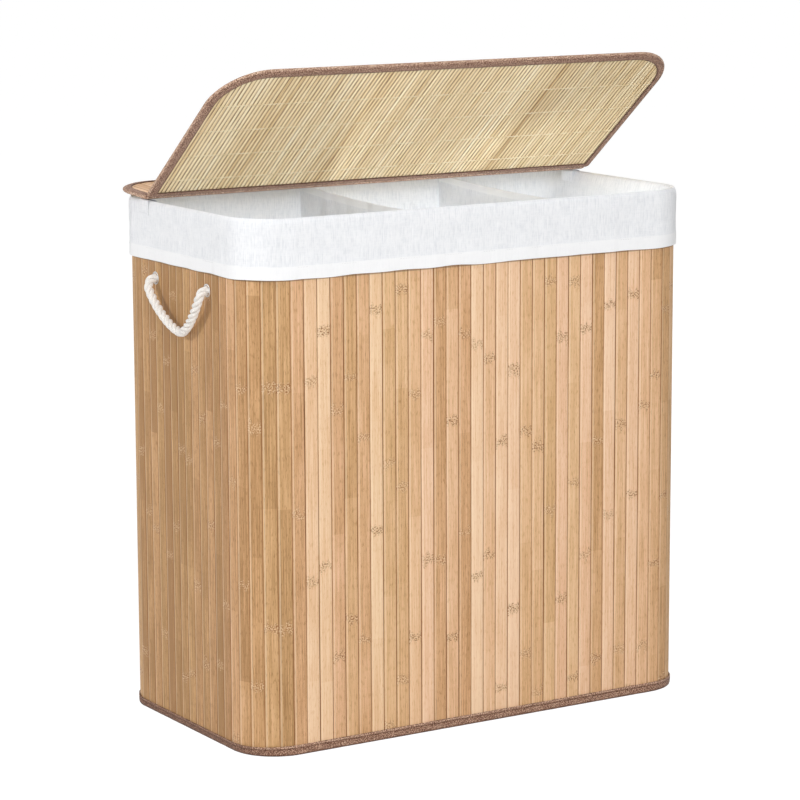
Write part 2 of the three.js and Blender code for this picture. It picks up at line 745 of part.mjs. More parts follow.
// A strap under the rear part of the lid hooks over the rim at each end.
function makeStrap(side) {
  const outFace = CUFF_STANDOFF + HEM_THICKNESS + CUFF_THICKNESS / 2 + CUFF_FLARE + GAP;
  const inFace = LINER_IN + STRAP_THICKNESS;
  const under = STRAP_TOP - STRAP_THICKNESS;
  const section = [
    [outFace, STRAP_TOP - STRAP_OUTER_LEG], [outFace + STRAP_THICKNESS, STRAP_TOP - STRAP_OUTER_LEG],
    [outFace + STRAP_THICKNESS, STRAP_TOP], [inFace - STRAP_THICKNESS, STRAP_TOP],
    [inFace - STRAP_THICKNESS, STRAP_TOP - STRAP_INNER_LEG], [inFace, STRAP_TOP - STRAP_INNER_LEG],
    [inFace, under], [outFace, under],
  ];
  const strip = extrude(section, STRAP_WIDTH);
  strip.rotateX(Math.PI / 2);
  if (side < 0) {
    strip.rotateZ(Math.PI);
  }
  const strap = new THREE.Mesh(strip, clothMaterial(LINER_COLOUR));
  const low = HINGE_Y + STRAP_FROM_HINGE;
  const y = side < 0 ? low : low + STRAP_WIDTH;
  strap.position.set((side * BODY_WIDTH) / 2, y, 0);
  return strap;
}

// Assembly

const hamper = new THREE.Group();

function add(name, mesh, parent = hamper) {
  mesh.name = name;
  parent.add(mesh);
}

for (const [name, side] of faceSides) {
  add(`wall_${name}`, makeFaceWall(side));
}

for (const [name, side] of endSides) {
  add(`wall_${name}`, makeEndWall(side));
  add(`liner_divider_${name}`, makeDivider(side));
  add(`handle_rope_${name}`, makeRopeLoop(side));
  add(`lid_strap_${name}`, makeStrap(side));
  for (const [end, sideY] of faceSides) {
    const y = (sideY * HANDLE_SPACING) / 2;
    for (let index = 0; index < CORNER_SLATS; index += 1) {
      add(`corner_${end}_${name}_${index + 1}`, makeCornerSlat(side, sideY, index));
    }
    add(`frame_post_${end}_${name}`, makePost(side, sideY));
    add(`eyelet_${end}_${name}`, makeEyelet(side, y));
    add(`rope_end_${end}_${name}`, makeRopeEnd(side, y));
  }
}

add("wall_lining", makeLining());
add("rim_binding", makeRimBinding());
add("base_binding", makeBaseBinding());
add("base_cover", makeBaseCover());
add("base_board", makeBaseBoard());
add("frame_ring", makeFrameRing());
add("liner_bag", makeLinerBag());
add("liner_cuff", makeCuff());
add("liner_hem", makeHem());

for (const [layer, geometry, material] of lidLayers(rearOutline)) {
  add(`lid_rear_${layer}`, new THREE.Mesh(geometry, material));
}

const flapPivot = makeFlapPivot();
hamper.add(flapPivot);
for (const [layer, geometry, material] of lidLayers(flapOutline)) {
  geometry.translate(0, -HINGE_Y, -HINGE_Z);
  add(`lid_flap_${layer}`, new THREE.Mesh(geometry, material), flapPivot);
}
add("lid_hinge_tape", makeHingeTape());

export default hamper;
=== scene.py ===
# %% [markdown]
# # A slatted laundry hamper
#
# The real hamper is a curtain of upright bamboo slats, bent round a rectangle
# with soft corners. It has a tape round its bottom edge, a white liner turned
# down over the rim, two cloth dividers, a rope handle in each end, and a lid in
# two parts on a cloth hinge.
#
# The imported model is the frame. Every piece below is made in its axes, in
# metres: +Z up, +X to the right along the front, +Y to the rear. A piece either
# rides on one of the frame's bodies or stands unparented.
#
# It could be modelled by hand, strip by strip. Nearly every piece is a strip, a
# sheet or a rope, though, so here a few functions work out whole arrays of
# points, and one size is changed in one place.

# %% Load the frame
import math

import bpy
import numpy as np
from mathutils import Matrix, Vector


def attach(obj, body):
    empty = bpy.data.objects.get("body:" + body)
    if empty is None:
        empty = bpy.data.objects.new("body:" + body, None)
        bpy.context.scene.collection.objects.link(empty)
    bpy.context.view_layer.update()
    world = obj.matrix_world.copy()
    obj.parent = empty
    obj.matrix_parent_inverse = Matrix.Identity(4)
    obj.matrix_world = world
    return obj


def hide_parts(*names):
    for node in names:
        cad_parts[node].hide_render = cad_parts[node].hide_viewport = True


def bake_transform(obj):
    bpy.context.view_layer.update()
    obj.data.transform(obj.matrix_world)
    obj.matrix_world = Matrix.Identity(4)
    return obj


MM = 0.001
RANDOM_SEED = 11

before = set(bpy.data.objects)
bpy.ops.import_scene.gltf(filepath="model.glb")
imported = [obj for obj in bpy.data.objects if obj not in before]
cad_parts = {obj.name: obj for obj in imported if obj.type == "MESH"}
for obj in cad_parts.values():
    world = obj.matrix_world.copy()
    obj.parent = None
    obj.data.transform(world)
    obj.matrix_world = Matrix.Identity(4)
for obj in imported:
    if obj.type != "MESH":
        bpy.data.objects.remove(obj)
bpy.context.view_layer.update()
rng = np.random.default_rng(RANDOM_SEED)

# %% [markdown]
# ## Camera
#
# A camera can be nudged by eye or worked out. This one is worked out from the
# photograph's vanishing lines, so that a render lies over it. The lens follows
# from the focal length in pixels, because the sensor's width stands for the
# whole width of the picture.

# %% Camera
IMAGE_WIDTH_PIXELS = 800
FOCAL_PIXELS = 3101
SENSOR_WIDTH_MILLIMETRES = 36
CAMERA_PLACE = (-1.9948, -3.1959, 1.0437)
CAMERA_YAW = math.radians(31.86)
CAMERA_PITCH = math.radians(10.13)
CAMERA_ROLL = math.radians(-0.24)
FLOOR_REACH = 60.0


def camera_turn():
    """Rotation whose columns are the camera's right, up and back."""
    level = np.array([math.sin(CAMERA_YAW), math.cos(CAMERA_YAW), 0])
    right = np.array([math.cos(CAMERA_YAW), -math.sin(CAMERA_YAW), 0])
    up = np.array([0, 0, 1])
    ahead = level * math.cos(CAMERA_PITCH) - up * math.sin(CAMERA_PITCH)
    above = up * math.cos(CAMERA_PITCH) + level * math.sin(CAMERA_PITCH)
    side = right * math.cos(CAMERA_ROLL) + above * math.sin(CAMERA_ROLL)
    above = above * math.cos(CAMERA_ROLL) - right * math.sin(CAMERA_ROLL)
    return Matrix(np.stack([side, above, -ahead], axis=1).tolist())


def add_camera():
    """A camera whose lens is focal pixels times sensor width over picture width."""
    data = bpy.data.cameras.new("photo_camera")
    data.sensor_width = SENSOR_WIDTH_MILLIMETRES
    data.lens = FOCAL_PIXELS * SENSOR_WIDTH_MILLIMETRES / IMAGE_WIDTH_PIXELS
    data.clip_end = FLOOR_REACH
    camera = bpy.data.objects.new("photo_camera", data)
    camera.matrix_world = Matrix.Translation(CAMERA_PLACE) @ camera_turn().to_4x4()
    bpy.context.scene.collection.objects.link(camera)
    bpy.context.scene.camera = camera
    return camera


camera = add_camera()
print("lens", round(camera.data.lens, 1), "mm")

# %% [markdown]
# ## Sky and floor
#
# The hamper stands on plain white. The ground could be lit until it clips, but
# that much light would wash out the cloth as well. Here Light Path tells two
# kinds of ray apart: one that shows the background, to the camera or in a
# reflection, finds white, and one that lights the object finds a soft sky. The
# floor keeps a share of its real shading, and so a shadow under the hamper.

# %% Sky and floor
SKY_STRENGTH = 0.18
FLOOR_ALBEDO = 0.82
FLOOR_SHADOW_SHARE = 0.14


def seen_directly(tree):
    """1 for a ray that shows the background, straight or in gloss or glass, and 0 for one that lights."""
    path = tree.nodes.new("ShaderNodeLightPath")
    total = path.outputs["Is Camera Ray"]
    for name in ("Is Glossy Ray", "Is Transmission Ray"):
        either = tree.nodes.new("ShaderNodeMath")
        either.operation = "MAXIMUM"
        tree.links.new(total, either.inputs[0])
        tree.links.new(path.outputs[name], either.inputs[1])
        total = either.outputs["Value"]
    return total


def add_sky():
    """White to the camera and in gloss, softer as a light."""
    world = bpy.data.worlds.new("pale_sky")
    world.use_nodes = True
    bpy.context.scene.world = world
    tree = world.node_tree
    sky = tree.nodes["Background"]
    sky.inputs["Color"].default_value = (1, 1, 1, 1)
    strength = tree.nodes.new("ShaderNodeMapRange")
    strength.inputs["To Min"].default_value = SKY_STRENGTH
    tree.links.new(seen_directly(tree), strength.inputs["Value"])
    tree.links.new(strength.outputs["Result"], sky.inputs["Strength"])


def floor_material():
    """White light mixed with plain diffuse: the shadow's share of it, seen directly, or all of it."""
    made = bpy.data.materials.new("pale_floor")
    made.use_nodes = True
    tree = made.node_tree
    tree.nodes.clear()
    plain = tree.nodes.new("ShaderNodeBsdfDiffuse")
    plain.inputs["Color"].default_value = (FLOOR_ALBEDO, FLOOR_ALBEDO, FLOOR_ALBEDO, 1)
    white = tree.nodes.new("ShaderNodeEmission")
    white.inputs["Strength"].default_value = 1 + FLOOR_SHADOW_SHARE
    share = tree.nodes.new("ShaderNodeMapRange")
    share.inputs["To Max"].default_value = 1 - FLOOR_SHADOW_SHARE
    mix = tree.nodes.new("ShaderNodeMixShader")
    out = tree.nodes.new("ShaderNodeOutputMaterial")
    tree.links.new(seen_directly(tree), share.inputs["Value"])
    tree.links.new(share.outputs["Result"], mix.inputs["Fac"])
    tree.links.new(plain.outputs["BSDF"], mix.inputs[1])
    tree.links.new(white.outputs["Emission"], mix.inputs[2])
    tree.links.new(mix.outputs["Shader"], out.inputs["Surface"])
    return made


def add_floor():
    """One large square at height 0."""
    data = bpy.data.meshes.new("floor")
    reach = FLOOR_REACH
    data.from_pydata(
        [(-reach, -reach, 0), (reach, -reach, 0), (reach, reach, 0), (-reach, reach, 0)],
        [],
        [(0, 1, 2, 3)],
    )
    data.materials.append(floor_material())
    floor = bpy.data.objects.new("floor", data)
    bpy.context.scene.collection.objects.link(floor)


add_sky()
add_floor()
print("sky strength", SKY_STRENGTH, "floor albedo", FLOOR_ALBEDO)

# %% [markdown]
# ## Lamps
#
# A studio lights such a thing with large soft boxes. Fewer, smaller lamps would
# leave hard shadows between the slats, so four round panels stand before the
# front, off the left end, above and behind. A small lamp low in each
# compartment, out of sight, lifts the cloth inside and the mat under the lid,
# and one more turns to the right end's inner wall.

# %% Lamps
MIDDLE = (0.0, 0.0, 0.4)
# Each panel's name, place, aim, width in metres and power in watts.
PANELS = (
    ("panel_front", (-1.5, -3.5, 1.75), MIDDLE, 2.0, 85),
    ("panel_left", (-3.2, 1.2, 1.9), MIDDLE, 0.45, 50),
    ("panel_top", (0.0, -1.2, 3.4), MIDDLE, 2.2, 34),
    ("panel_rear", (2.7, 2.6, 1.9), MIDDLE, 2.0, 72),
)
# Each lamp's x, the x it aims at, its height and its power in watts.
INSIDE_LAMPS = ((-0.19, -0.22, 0.38, 0.28), (0.03, 0.03, 0.26, 0.58), (0.19, 0.40, 0.34, 0.15))
INSIDE_LAMP_Y = -0.06
INSIDE_AIM_HEIGHT = 0.6
INSIDE_LAMP_WIDTH = 0.12
INSIDE_LAMP_COLOUR = (0.90, 0.96, 1.0)
WALL_LAMP_PLACE = (0.145, -0.11, 0.58)
WALL_LAMP_AIM = (0.28, 0.04, 0.50)
WALL_LAMP_WIDTH = 0.09
WALL_LAMP_POWER = 0.20


def add_panel(name, place, aim, width, power, colour=(1, 1, 1)):
    """A disk of light whose back, +Z, points away from what it aims at."""
    data = bpy.data.lights.new(name, "AREA")
    data.shape = "DISK"
    data.size = width
    data.energy = power
    data.color = colour
    panel = bpy.data.objects.new(name, data)
    panel.location = place
    panel.rotation_euler = (Vector(aim) - Vector(place)).to_track_quat("-Z", "Y").to_euler()
    panel.visible_camera = False
    bpy.context.scene.collection.objects.link(panel)
    print(name, power, "W")


for panel in PANELS:
    add_panel(*panel)
for index, (x, aim_x, height, power) in enumerate(INSIDE_LAMPS):
    place = (x, INSIDE_LAMP_Y, height)
    aim = (aim_x, INSIDE_LAMP_Y, INSIDE_AIM_HEIGHT)
    add_panel(f"lamp_inside_{index + 1}", place, aim, INSIDE_LAMP_WIDTH, power, INSIDE_LAMP_COLOUR)
add_panel("lamp_right_wall", WALL_LAMP_PLACE, WALL_LAMP_AIM, WALL_LAMP_WIDTH, WALL_LAMP_POWER,
          INSIDE_LAMP_COLOUR)
bpy.context.scene.view_settings.view_transform = "Standard"

# %% [markdown]
# ## The line round the walls
#
# Slats, lining, tapes and liner all follow one line in plan: a rectangle with
# round corners. Each could have an outline of its own, but then a new size would
# have to be set in all of them. `body_line` gives the line once, on the slats'
# outer face, by the distance walked from the middle of the front towards the
# right. Offsets are counted outward from it, and heights from the floor.

# %% The line round the walls
BODY_WIDTH = 620 * MM
BODY_DEPTH = 340 * MM
RIM_HEIGHT = 630 * MM
CORNER_RADIUS = 57 * MM
HALF_RUN_X = BODY_WIDTH / 2 - CORNER_RADIUS
HALF_RUN_Y = BODY_DEPTH / 2 - CORNER_RADIUS
CORNER_ARC = CORNER_RADIUS * math.pi / 2
GIRTH = 4 * (HALF_RUN_X + HALF_RUN_Y + CORNER_ARC)


def body_line(distance):
    """Places on the wall's outer face, and its outward directions, in plan.

    The outward direction turns evenly along each corner's arc and holds still
    along each flat. The place is the nearest corner centre, or the point that
    slides between two of them, plus the corner radius outward.
    """
    runs = [HALF_RUN_X, CORNER_ARC, 2 * HALF_RUN_Y, CORNER_ARC, 2 * HALF_RUN_X]
    runs += [CORNER_ARC, 2 * HALF_RUN_Y, CORNER_ARC, HALF_RUN_X]
    marks = np.concatenate([[0], np.cumsum(runs)])
    turn = np.array([0, 0, 1, 1, 2, 2, 3, 3, 4, 4]) * math.pi / 2 - math.pi / 2
    x_shares = np.array([0, 1, 1, 1, 1, -1, -1, -1, -1, 0])
    y_shares = np.array([-1, -1, -1, 1, 1, 1, 1, -1, -1, -1])
    distance = np.mod(distance, marks[-1])
    angle = np.interp(distance, marks, turn)
    normal = np.stack([np.cos(angle), np.sin(angle)], -1)
    centre = np.stack([
        np.interp(distance, marks, x_shares) * HALF_RUN_X,
        np.interp(distance, marks, y_shares) * HALF_RUN_Y,
    ], -1)
    return centre + normal * CORNER_RADIUS, normal


def ring_stations(rows):
    """So many evenly spaced stations round the body: their distances, places and directions."""
    distance = np.arange(rows) * GIRTH / rows
    place, normal = body_line(distance)
    return distance, place, normal


def body_ring(section, step, relief=None):
    """A grid round the body: rows along the wall, columns along the section.

    The section is a list of (offset, height). Each point is the wall's line plus
    its outward direction times the offset, with any relief added to the offset.
    """
    section = np.asarray(section, float)
    rows = int(round(GIRTH / step))
    distance, place, normal = ring_stations(rows)
    offset = np.broadcast_to(section[:, 0], (rows, len(section)))
    if relief is not None:
        offset = offset + relief(distance[:, None] / GIRTH, section[None, :, 1])
    plan = place[:, None] + normal[:, None] * offset[..., None]
    height = np.broadcast_to(section[:, 1], offset.shape)
    return np.concatenate([plan, height[..., None]], -1)


print("girth", round(GIRTH, 4), "m")

# %% [markdown]
# ## From arrays to a mesh
#
# A mesh is points, faces and, for its texture, one UV place for each corner of
# each face. `make_piece` puts such arrays into a mesh in one go, which is far
# quicker than adding vertices one by one. Objects stay at the origin, unturned.
# `settle` tells the frame which body carries a piece and which plain solids it
# stands for.

# %% From arrays to a mesh
CLOTH_SHARP_DEGREES = 45
ROUND_SHARP_DEGREES = 80


def make_piece(name, points, faces, corner_uv, material, attributes=None,
               sharp_degrees=CLOTH_SHARP_DEGREES):
    """An object whose edges are smooth unless its faces meet at more than the sharp angle."""
    data = bpy.data.meshes.new(name)
    data.from_pydata(np.asarray(points, float).reshape(-1, 3).tolist(), [], faces)
    layer = data.uv_layers.new(name="UVMap")
    layer.data.foreach_set("uv", np.asarray(corner_uv, np.float32).ravel())
    for key, values in (attributes or {}).items():
        attribute = data.attributes.new(key, "FLOAT", "POINT")
        attribute.data.foreach_set("value", np.asarray(values, np.float32).ravel())
    data.materials.append(material)
    data.validate()
    data.shade_smooth()
    data.set_sharp_from_angle(angle=math.radians(sharp_degrees))
    piece = bpy.data.objects.new(name, data)
    bpy.context.scene.collection.objects.link(piece)
    print(name, len(data.polygons), "faces")
    return piece


def settle(piece, body, slot, *nodes):
    """The piece rides on a body and stands for these nodes of the frame."""
    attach(piece, body)
    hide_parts(*nodes)
    return piece


def closed_quads(rows, columns, around=True):
    """Rows, columns and quads of a grid whose columns close, and its rows too if it goes around."""
    i, j = np.meshgrid(np.arange(rows if around else rows - 1), np.arange(columns), indexing="ij")
    far, side = (i + 1) % rows * columns, (j + 1) % columns
    return i, j, np.stack([i * columns + j, far + j, far + side, i * columns + side], -1)


def corner_uv(u, next_u, v, next_v):
    """UVs of quads, corner by corner: along u, then along v, and back."""
    return np.stack([
        np.stack([u, v], -1), np.stack([next_u, v], -1),
        np.stack([next_u, next_v], -1), np.stack([u, next_v], -1),
    ], axis=-2)


def steps_along(points):
    """How far along a line each point lies: the running sum of the gaps."""
    gaps = np.linalg.norm(np.diff(points, axis=0), axis=-1)
    return np.concatenate([[0], np.cumsum(gaps)])


def ease(value, low, high):
    """A smooth step from 0 at low to 1 at high: t squared times 3 less 2 t."""
    t = np.clip((value - low) / (high - low), 0, 1)
    return t * t * (3 - 2 * t)


# %% [markdown]
# ## Rounded lines and random relief
#
# A folded tape or a rope bends softly through a few chosen points. A Bezier
# curve object would do, but its handles have to be set by hand. `smooth_line`
# uses a Catmull-Rom curve, which passes through its points by itself. Cloth is
# never quite flat, so `ripples` adds up a few sine waves of random size and
# phase, in whole numbers, so that the relief closes round the body.

# %% Rounded lines and random relief
FINE_STEPS = 24


def smooth_line(points, steps):
    """A rounded line through the points, evenly spaced.

    This is the centripetal Catmull-Rom curve. Each stretch blends the straight
    lines through its four nearest points, and the times between points are the
    square roots of the gaps, which keeps it from looping.
    """
    points = np.asarray(points, float)
    gap = np.sqrt(np.linalg.norm(np.diff(points, axis=0), axis=1))
    knots = np.concatenate([[0], np.cumsum(gap)])
    ends = np.concatenate([[2 * points[0] - points[1]], points, [2 * points[-1] - points[-2]]])
    clock = np.concatenate([[-gap[0]], knots, [knots[-1] + gap[-1]]])
    found = []
    for i in range(len(points) - 1):
        t0, t1, t2, t3 = clock[i:i + 4]
        p0, p1, p2, p3 = ends[i:i + 4]
        t = np.linspace(t1, t2, FINE_STEPS, endpoint=i == len(points) - 2)[:, None]
        a1 = (t1 - t) / (t1 - t0) * p0 + (t - t0) / (t1 - t0) * p1
        a2 = (t2 - t) / (t2 - t1) * p1 + (t - t1) / (t2 - t1) * p2
        a3 = (t3 - t) / (t3 - t2) * p2 + (t - t2) / (t3 - t2) * p3
        b1 = (t2 - t) / (t2 - t0) * a1 + (t - t0) / (t2 - t0) * a2
        b2 = (t3 - t) / (t3 - t1) * a2 + (t - t1) / (t3 - t1) * a3
        found.append((t2 - t) / (t2 - t1) * b1 + (t - t1) / (t2 - t1) * b2)
    dense = np.concatenate(found)
    far = steps_along(dense)
    even = np.linspace(0, far[-1], steps)
    return np.stack([np.interp(even, far, dense[:, k]) for k in range(dense.shape[1])], -1)


def ripples(share, other, waves, slant):
    """A smooth random relief, about -1 to 1, that closes on itself as share runs from 0 to 1.

    It is the sum of sines, one for each number of waves, each with a random
    size, phase and lean, divided by the square root of how many there are.
    """
    total = np.zeros(np.broadcast(share, other).shape)
    for wave in waves:
        lean = rng.normal() * slant
        phase = rng.uniform(0, 2 * math.pi)
        total = total + rng.normal() * np.sin(2 * math.pi * (wave * share + lean * other) + phase)
    return total / math.sqrt(len(waves))


print("a rounded line of", len(smooth_line([(0, 0), (1, 1), (2, 0)], 9)), "points")

# %% [markdown]
# ## Cloth with a thickness
#
# Liner, lining and tapes are sheets under 2 mm thick. A Solidify modifier could
# thicken a grid. `cloth` works out both faces itself, because then the thickness
# can change along the sheet, as at a hem, and the UVs stay in metres.

# %% Cloth with a thickness
def cloth(name, middle, thickness, material, around=False, attributes=None):
    """A closed sheet about a grid of points, its rows along u and columns along v.

    Each point of the middle moves half the thickness along the cross product of
    the grid's two directions, and as far the other way for the second face.
    """
    middle = np.asarray(middle, float)
    rows, columns = middle.shape[:2]
    if around:
        along_u = np.roll(middle, -1, axis=0) - np.roll(middle, 1, axis=0)
    else:
        along_u = np.gradient(middle, axis=0)
    normal = np.cross(along_u, np.gradient(middle, axis=1))
    normal /= np.maximum(np.linalg.norm(normal, axis=-1, keepdims=True), 1e-12)
    half = np.broadcast_to(np.asarray(thickness, float) / 2, (rows, columns))[..., None]
    points = np.concatenate([middle + normal * half, (middle - normal * half)[:, ::-1]], axis=1)
    faces, uv = sheet_faces(middle, around)
    both = {key: np.concatenate([a, a[:, ::-1]], axis=1) for key, a in (attributes or {}).items()}
    return make_piece(name, points, faces, uv, material, both)


def sheet_faces(middle, around):
    """Faces round a sheet's section, row by row, and their UVs in metres along the middle."""
    rows, columns = middle.shape[:2]
    loop = 2 * columns
    closing = middle[:1] if around else middle[:0]
    u = steps_along(np.concatenate([middle, closing])[:, columns // 2])
    v = steps_along(middle[rows // 2])
    v = np.concatenate([v, v[::-1], v[:1]])
    i, j, quads = closed_quads(rows, loop, around)
    uv = corner_uv(u[i], u[i + 1], v[j], v[j + 1]).reshape(-1, 2)
    faces = quads.reshape(-1, 4).tolist()
    if around:
        return faces, uv
    caps, cap_uv = [], []
    for row, turn in ((0, 1), (rows - 1, -1)):
        for k in range(columns - 1):
            quad = [row * loop + k, row * loop + k + 1]
            quad += [row * loop + loop - 2 - k, row * loop + loop - 1 - k]
            caps.append(quad[::turn])
            cap_uv += [(u[row], v[k])] * len(quad)
    return faces + caps, np.concatenate([uv, cap_uv])


def declare_sheet(middle):
    """Turns the middle into an array, and does nothing more."""
    middle = np.asarray(middle, float)


# %% [markdown]
# ## Bars with one section
#
# A hundred slats and over two hundred sticks are each a short outline carried
# along a straight line. An Array modifier would repeat one exactly, but real
# strips differ. `bars` lays them all out in one array, each with ends, a wobble
# and a tone of its own, and writes the tone, the place across the strip and the
# count of its knots as attributes for the material.

# %% Bars with one section
def stay(points):
    """Leaves points where they are, for pieces that are laid out in place."""
    return points


BAR_SHARP_DEGREES = 35
GRAIN_SLIP = 3.0


def bar_faces(count, levels, corners):
    """Quads round each bar from level to level, and one face with many corners at each of its ends."""
    n, k, m = np.meshgrid(np.arange(count), np.arange(levels - 1), np.arange(corners), indexing="ij")
    here = (n * levels + k) * corners
    side = (m + 1) % corners
    quads = np.stack([here + m, here + side, here + corners + side, here + corners + m], -1)
    first = (np.arange(count) * levels * corners)[:, None] + np.arange(corners)
    return quads.reshape(-1, 4), np.concatenate([first[:, ::-1], first + (levels - 1) * corners])


def bar_uv(section, reach):
    """UVs of the quads: u runs round the section from each bar's own home, and v along the bar.

    A random slip in v gives each bar a grain of its own.
    """
    count, levels, corners = reach.shape
    width = np.concatenate([steps_along(section), [0]])
    width[-1] = width[-2] + np.linalg.norm(section[0] - section[-1])
    home = np.arange(count)[:, None, None] * 2 * width[-1]
    near = np.broadcast_to(home, (count, levels - 1, corners)) + width[:-1]
    far = np.broadcast_to(home, (count, levels - 1, corners)) + width[1:]
    v = reach + rng.uniform(0, GRAIN_SLIP, count)[:, None, None]
    return corner_uv(near, far, v[:, :-1], v[:, 1:]).reshape(-1, 4, 2)


def bars(name, base, across, outward, along, section, low, high, material,
         tone, knots, levels, wobble, place=stay):
    """One closed section, as (across, outward) points, repeated along many lines.

    Each point is its bar's base, plus across and outward times the section's own
    numbers, plus along times its reach. The reach runs evenly from low to high,
    the bar's ends at that point of the section. tone is one number for each bar,
    and knots one place and one spacing for each.
    """
    count, corners = len(base), len(section)
    section = np.asarray(section, float)
    share = np.linspace(0, 1, levels)[None, :, None]
    low = np.broadcast_to(low, (count, corners))[:, None, :]
    high = np.broadcast_to(high, (count, corners))[:, None, :]
    reach = low + (high - low) * share
    side = section[None, None, :, 0] + wobble[:, :, None, 0]
    rise = section[None, None, :, 1] + wobble[:, :, None, 1]
    points = (
        base[:, None, None] + side[..., None] * across[:, None, None]
        + rise[..., None] * outward[:, None, None] + reach[..., None] * along
    )
    faces, ends = bar_faces(count, levels, corners)
    uv = bar_uv(section, reach)
    if np.dot(np.cross(across[0], outward[0]), along) < 0:
        faces, uv, ends = faces[:, ::-1], uv[:, ::-1], ends[:, ::-1]
    end_uv = np.zeros((ends.size, 2))
    end_uv[:, 0] = points.reshape(-1, 3)[ends.ravel()] @ across[0]
    near, far = section[:, 0].min(), section[:, 0].max()
    edge = (2 * section[:, 0] - near - far) / (far - near)
    attributes = {
        "tone": np.repeat(tone, levels * corners),
        "edge": np.broadcast_to(edge, (count, levels, corners)),
    }
    if knots is not None:
        start, spacing = knots
        attributes["knots"] = (reach - start[:, None, None]) / spacing[:, None, None]
    return make_piece(
        name, place(points), faces.tolist() + ends.tolist(),
        np.concatenate([uv.reshape(-1, 2), end_uv]), material, attributes, BAR_SHARP_DEGREES)


# %% [markdown]
# ## Building materials
#
# A material is a small graph of nodes, and could be clicked together in the
# shader editor. Written as code, the same few moves repeat, so each has a helper
# here. Textures read the piece's own UVs, which are in metres, so a noise scale
# is in features per metre, across and along: 1000 means about a millimetre.

# %% Building materials
def new_material(name, roughness, **sockets):
    """A material, its node tree and its shader, with constants set on the shader's own sockets."""
    made = bpy.data.materials.new(name)
    made.use_nodes = True
    shader = made.node_tree.nodes["Principled BSDF"]
    shader.inputs["Roughness"].default_value = roughness
    for key, value in sockets.items():
        shader.inputs[key.replace("_", " ")].default_value = value
    return made, made.node_tree, shader


def add_node(tree, kind, inputs=(), **settings):
    """A node with its settings made, and its inputs set or linked."""
    node = tree.nodes.new(kind)
    for key, value in settings.items():
        setattr(node, key, value)
    for key, value in dict(inputs).items():
        if isinstance(value, bpy.types.NodeSocket):
            tree.links.new(value, node.inputs[key])
        else:
            node.inputs[key].default_value = value
    return node


def calc(tree, operation, first, second=0.0):
    """One sum on two values or sockets."""
    return add_node(tree, "ShaderNodeMath", {0: first, 1: second}, operation=operation).outputs[0]


def times(tree, value, factor):
    """One value or socket times another."""
    return calc(tree, "MULTIPLY", value, factor)


def sway(tree, value, part, share):
    """The value, moved up or down by a share of how far a noise is from its middle."""
    return calc(tree, "ADD", value, times(tree, calc(tree, "SUBTRACT", part, 0.5), share))


def weighed(tree, first, *rest):
    """The sum of several values, each times its share."""
    total = times(tree, *first)
    for part in rest:
        total = calc(tree, "ADD", total, times(tree, *part))
    return total


def read(tree, name):
    """One of the piece's own attributes."""
    return add_node(tree, "ShaderNodeAttribute", attribute_name=name).outputs["Fac"]


def own_uv(tree):
    """The piece's UVs, in metres."""
    return add_node(tree, "ShaderNodeUVMap", uv_map="UVMap").outputs["UV"]


def own_place(tree):
    """Where a point lies on the piece, in metres, whatever pose the piece is in."""
    return add_node(tree, "ShaderNodeTexCoord").outputs["Object"]


def noise(tree, place, scales, detail=2.0):
    """Noise stretched by its own scale in u and in v, about 0 to 1."""
    grown = add_node(
        tree, "ShaderNodeVectorMath", {0: place, 1: (scales[0], scales[1], 1)}, operation="MULTIPLY")
    made = add_node(
        tree, "ShaderNodeTexNoise", {"Vector": grown.outputs[0], "Scale": 1.0, "Detail": detail},
        noise_dimensions="2D")
    return made.outputs[0]


def limit(tree, value, low, high, to_low=0.0, to_high=1.0):
    """A smooth step from one value to another."""
    inputs = {"Value": value, "From Min": low, "From Max": high, "To Min": to_low, "To Max": to_high}
    return add_node(
        tree, "ShaderNodeMapRange", inputs, interpolation_type="SMOOTHSTEP").outputs["Result"]


def ramp(tree, value, stops):
    """Colours by value: each stop is a place and a colour."""
    node = add_node(tree, "ShaderNodeValToRGB", {"Fac": value})
    elements = node.color_ramp.elements
    while len(elements) < len(stops):
        elements.new(1)
    for element, (place, colour) in zip(elements, stops):
        element.position = place
        element.color = (*colour, 1)
    return node.outputs["Color"]


def blend_colours(tree, share, first, second, kind="MIX"):
    """The first colour where the share is 0, the second where it is 1."""
    node = add_node(tree, "ShaderNodeMix", data_type="RGBA", blend_type=kind)
    for index, value in ((0, share), (6, first), (7, second)):
        if isinstance(value, bpy.types.NodeSocket):
            tree.links.new(value, node.inputs[index])
        else:
            node.inputs[index].default_value = value if index == 0 else (*value, 1)
    return node.outputs[2]


def dress(tree, shader, colour, height=None, distance=0.0, strength=1.0):
    """Gives the shader its colour, and bumps its surface by a height of so many metres."""
    tree.links.new(colour, shader.inputs["Base Color"])
    if height is not None:
        bump = add_node(
            tree, "ShaderNodeBump", {"Height": height, "Distance": distance, "Strength": strength})
        tree.links.new(bump.outputs["Normal"], shader.inputs["Normal"])


def shown(material):
    """Prints how large a finished material is, and gives it back."""
    print(material.name, len(material.node_tree.nodes), "nodes")
    return material


# %% [markdown]
# ## Split bamboo
#
# A slat is split from a bamboo culm and planed: straight fibres, longer streaks,
# short dark pores, and every 20 to 30 cm a speckled knot where the culm had a
# joint. A picture of bamboo wrapped on the strips would repeat. Here noise is
# stretched along each strip, and a ramp turns its sum with the strip's own tone
# into a colour from dark to pale. A random number shifts the tone of the
# stretch about each knot.

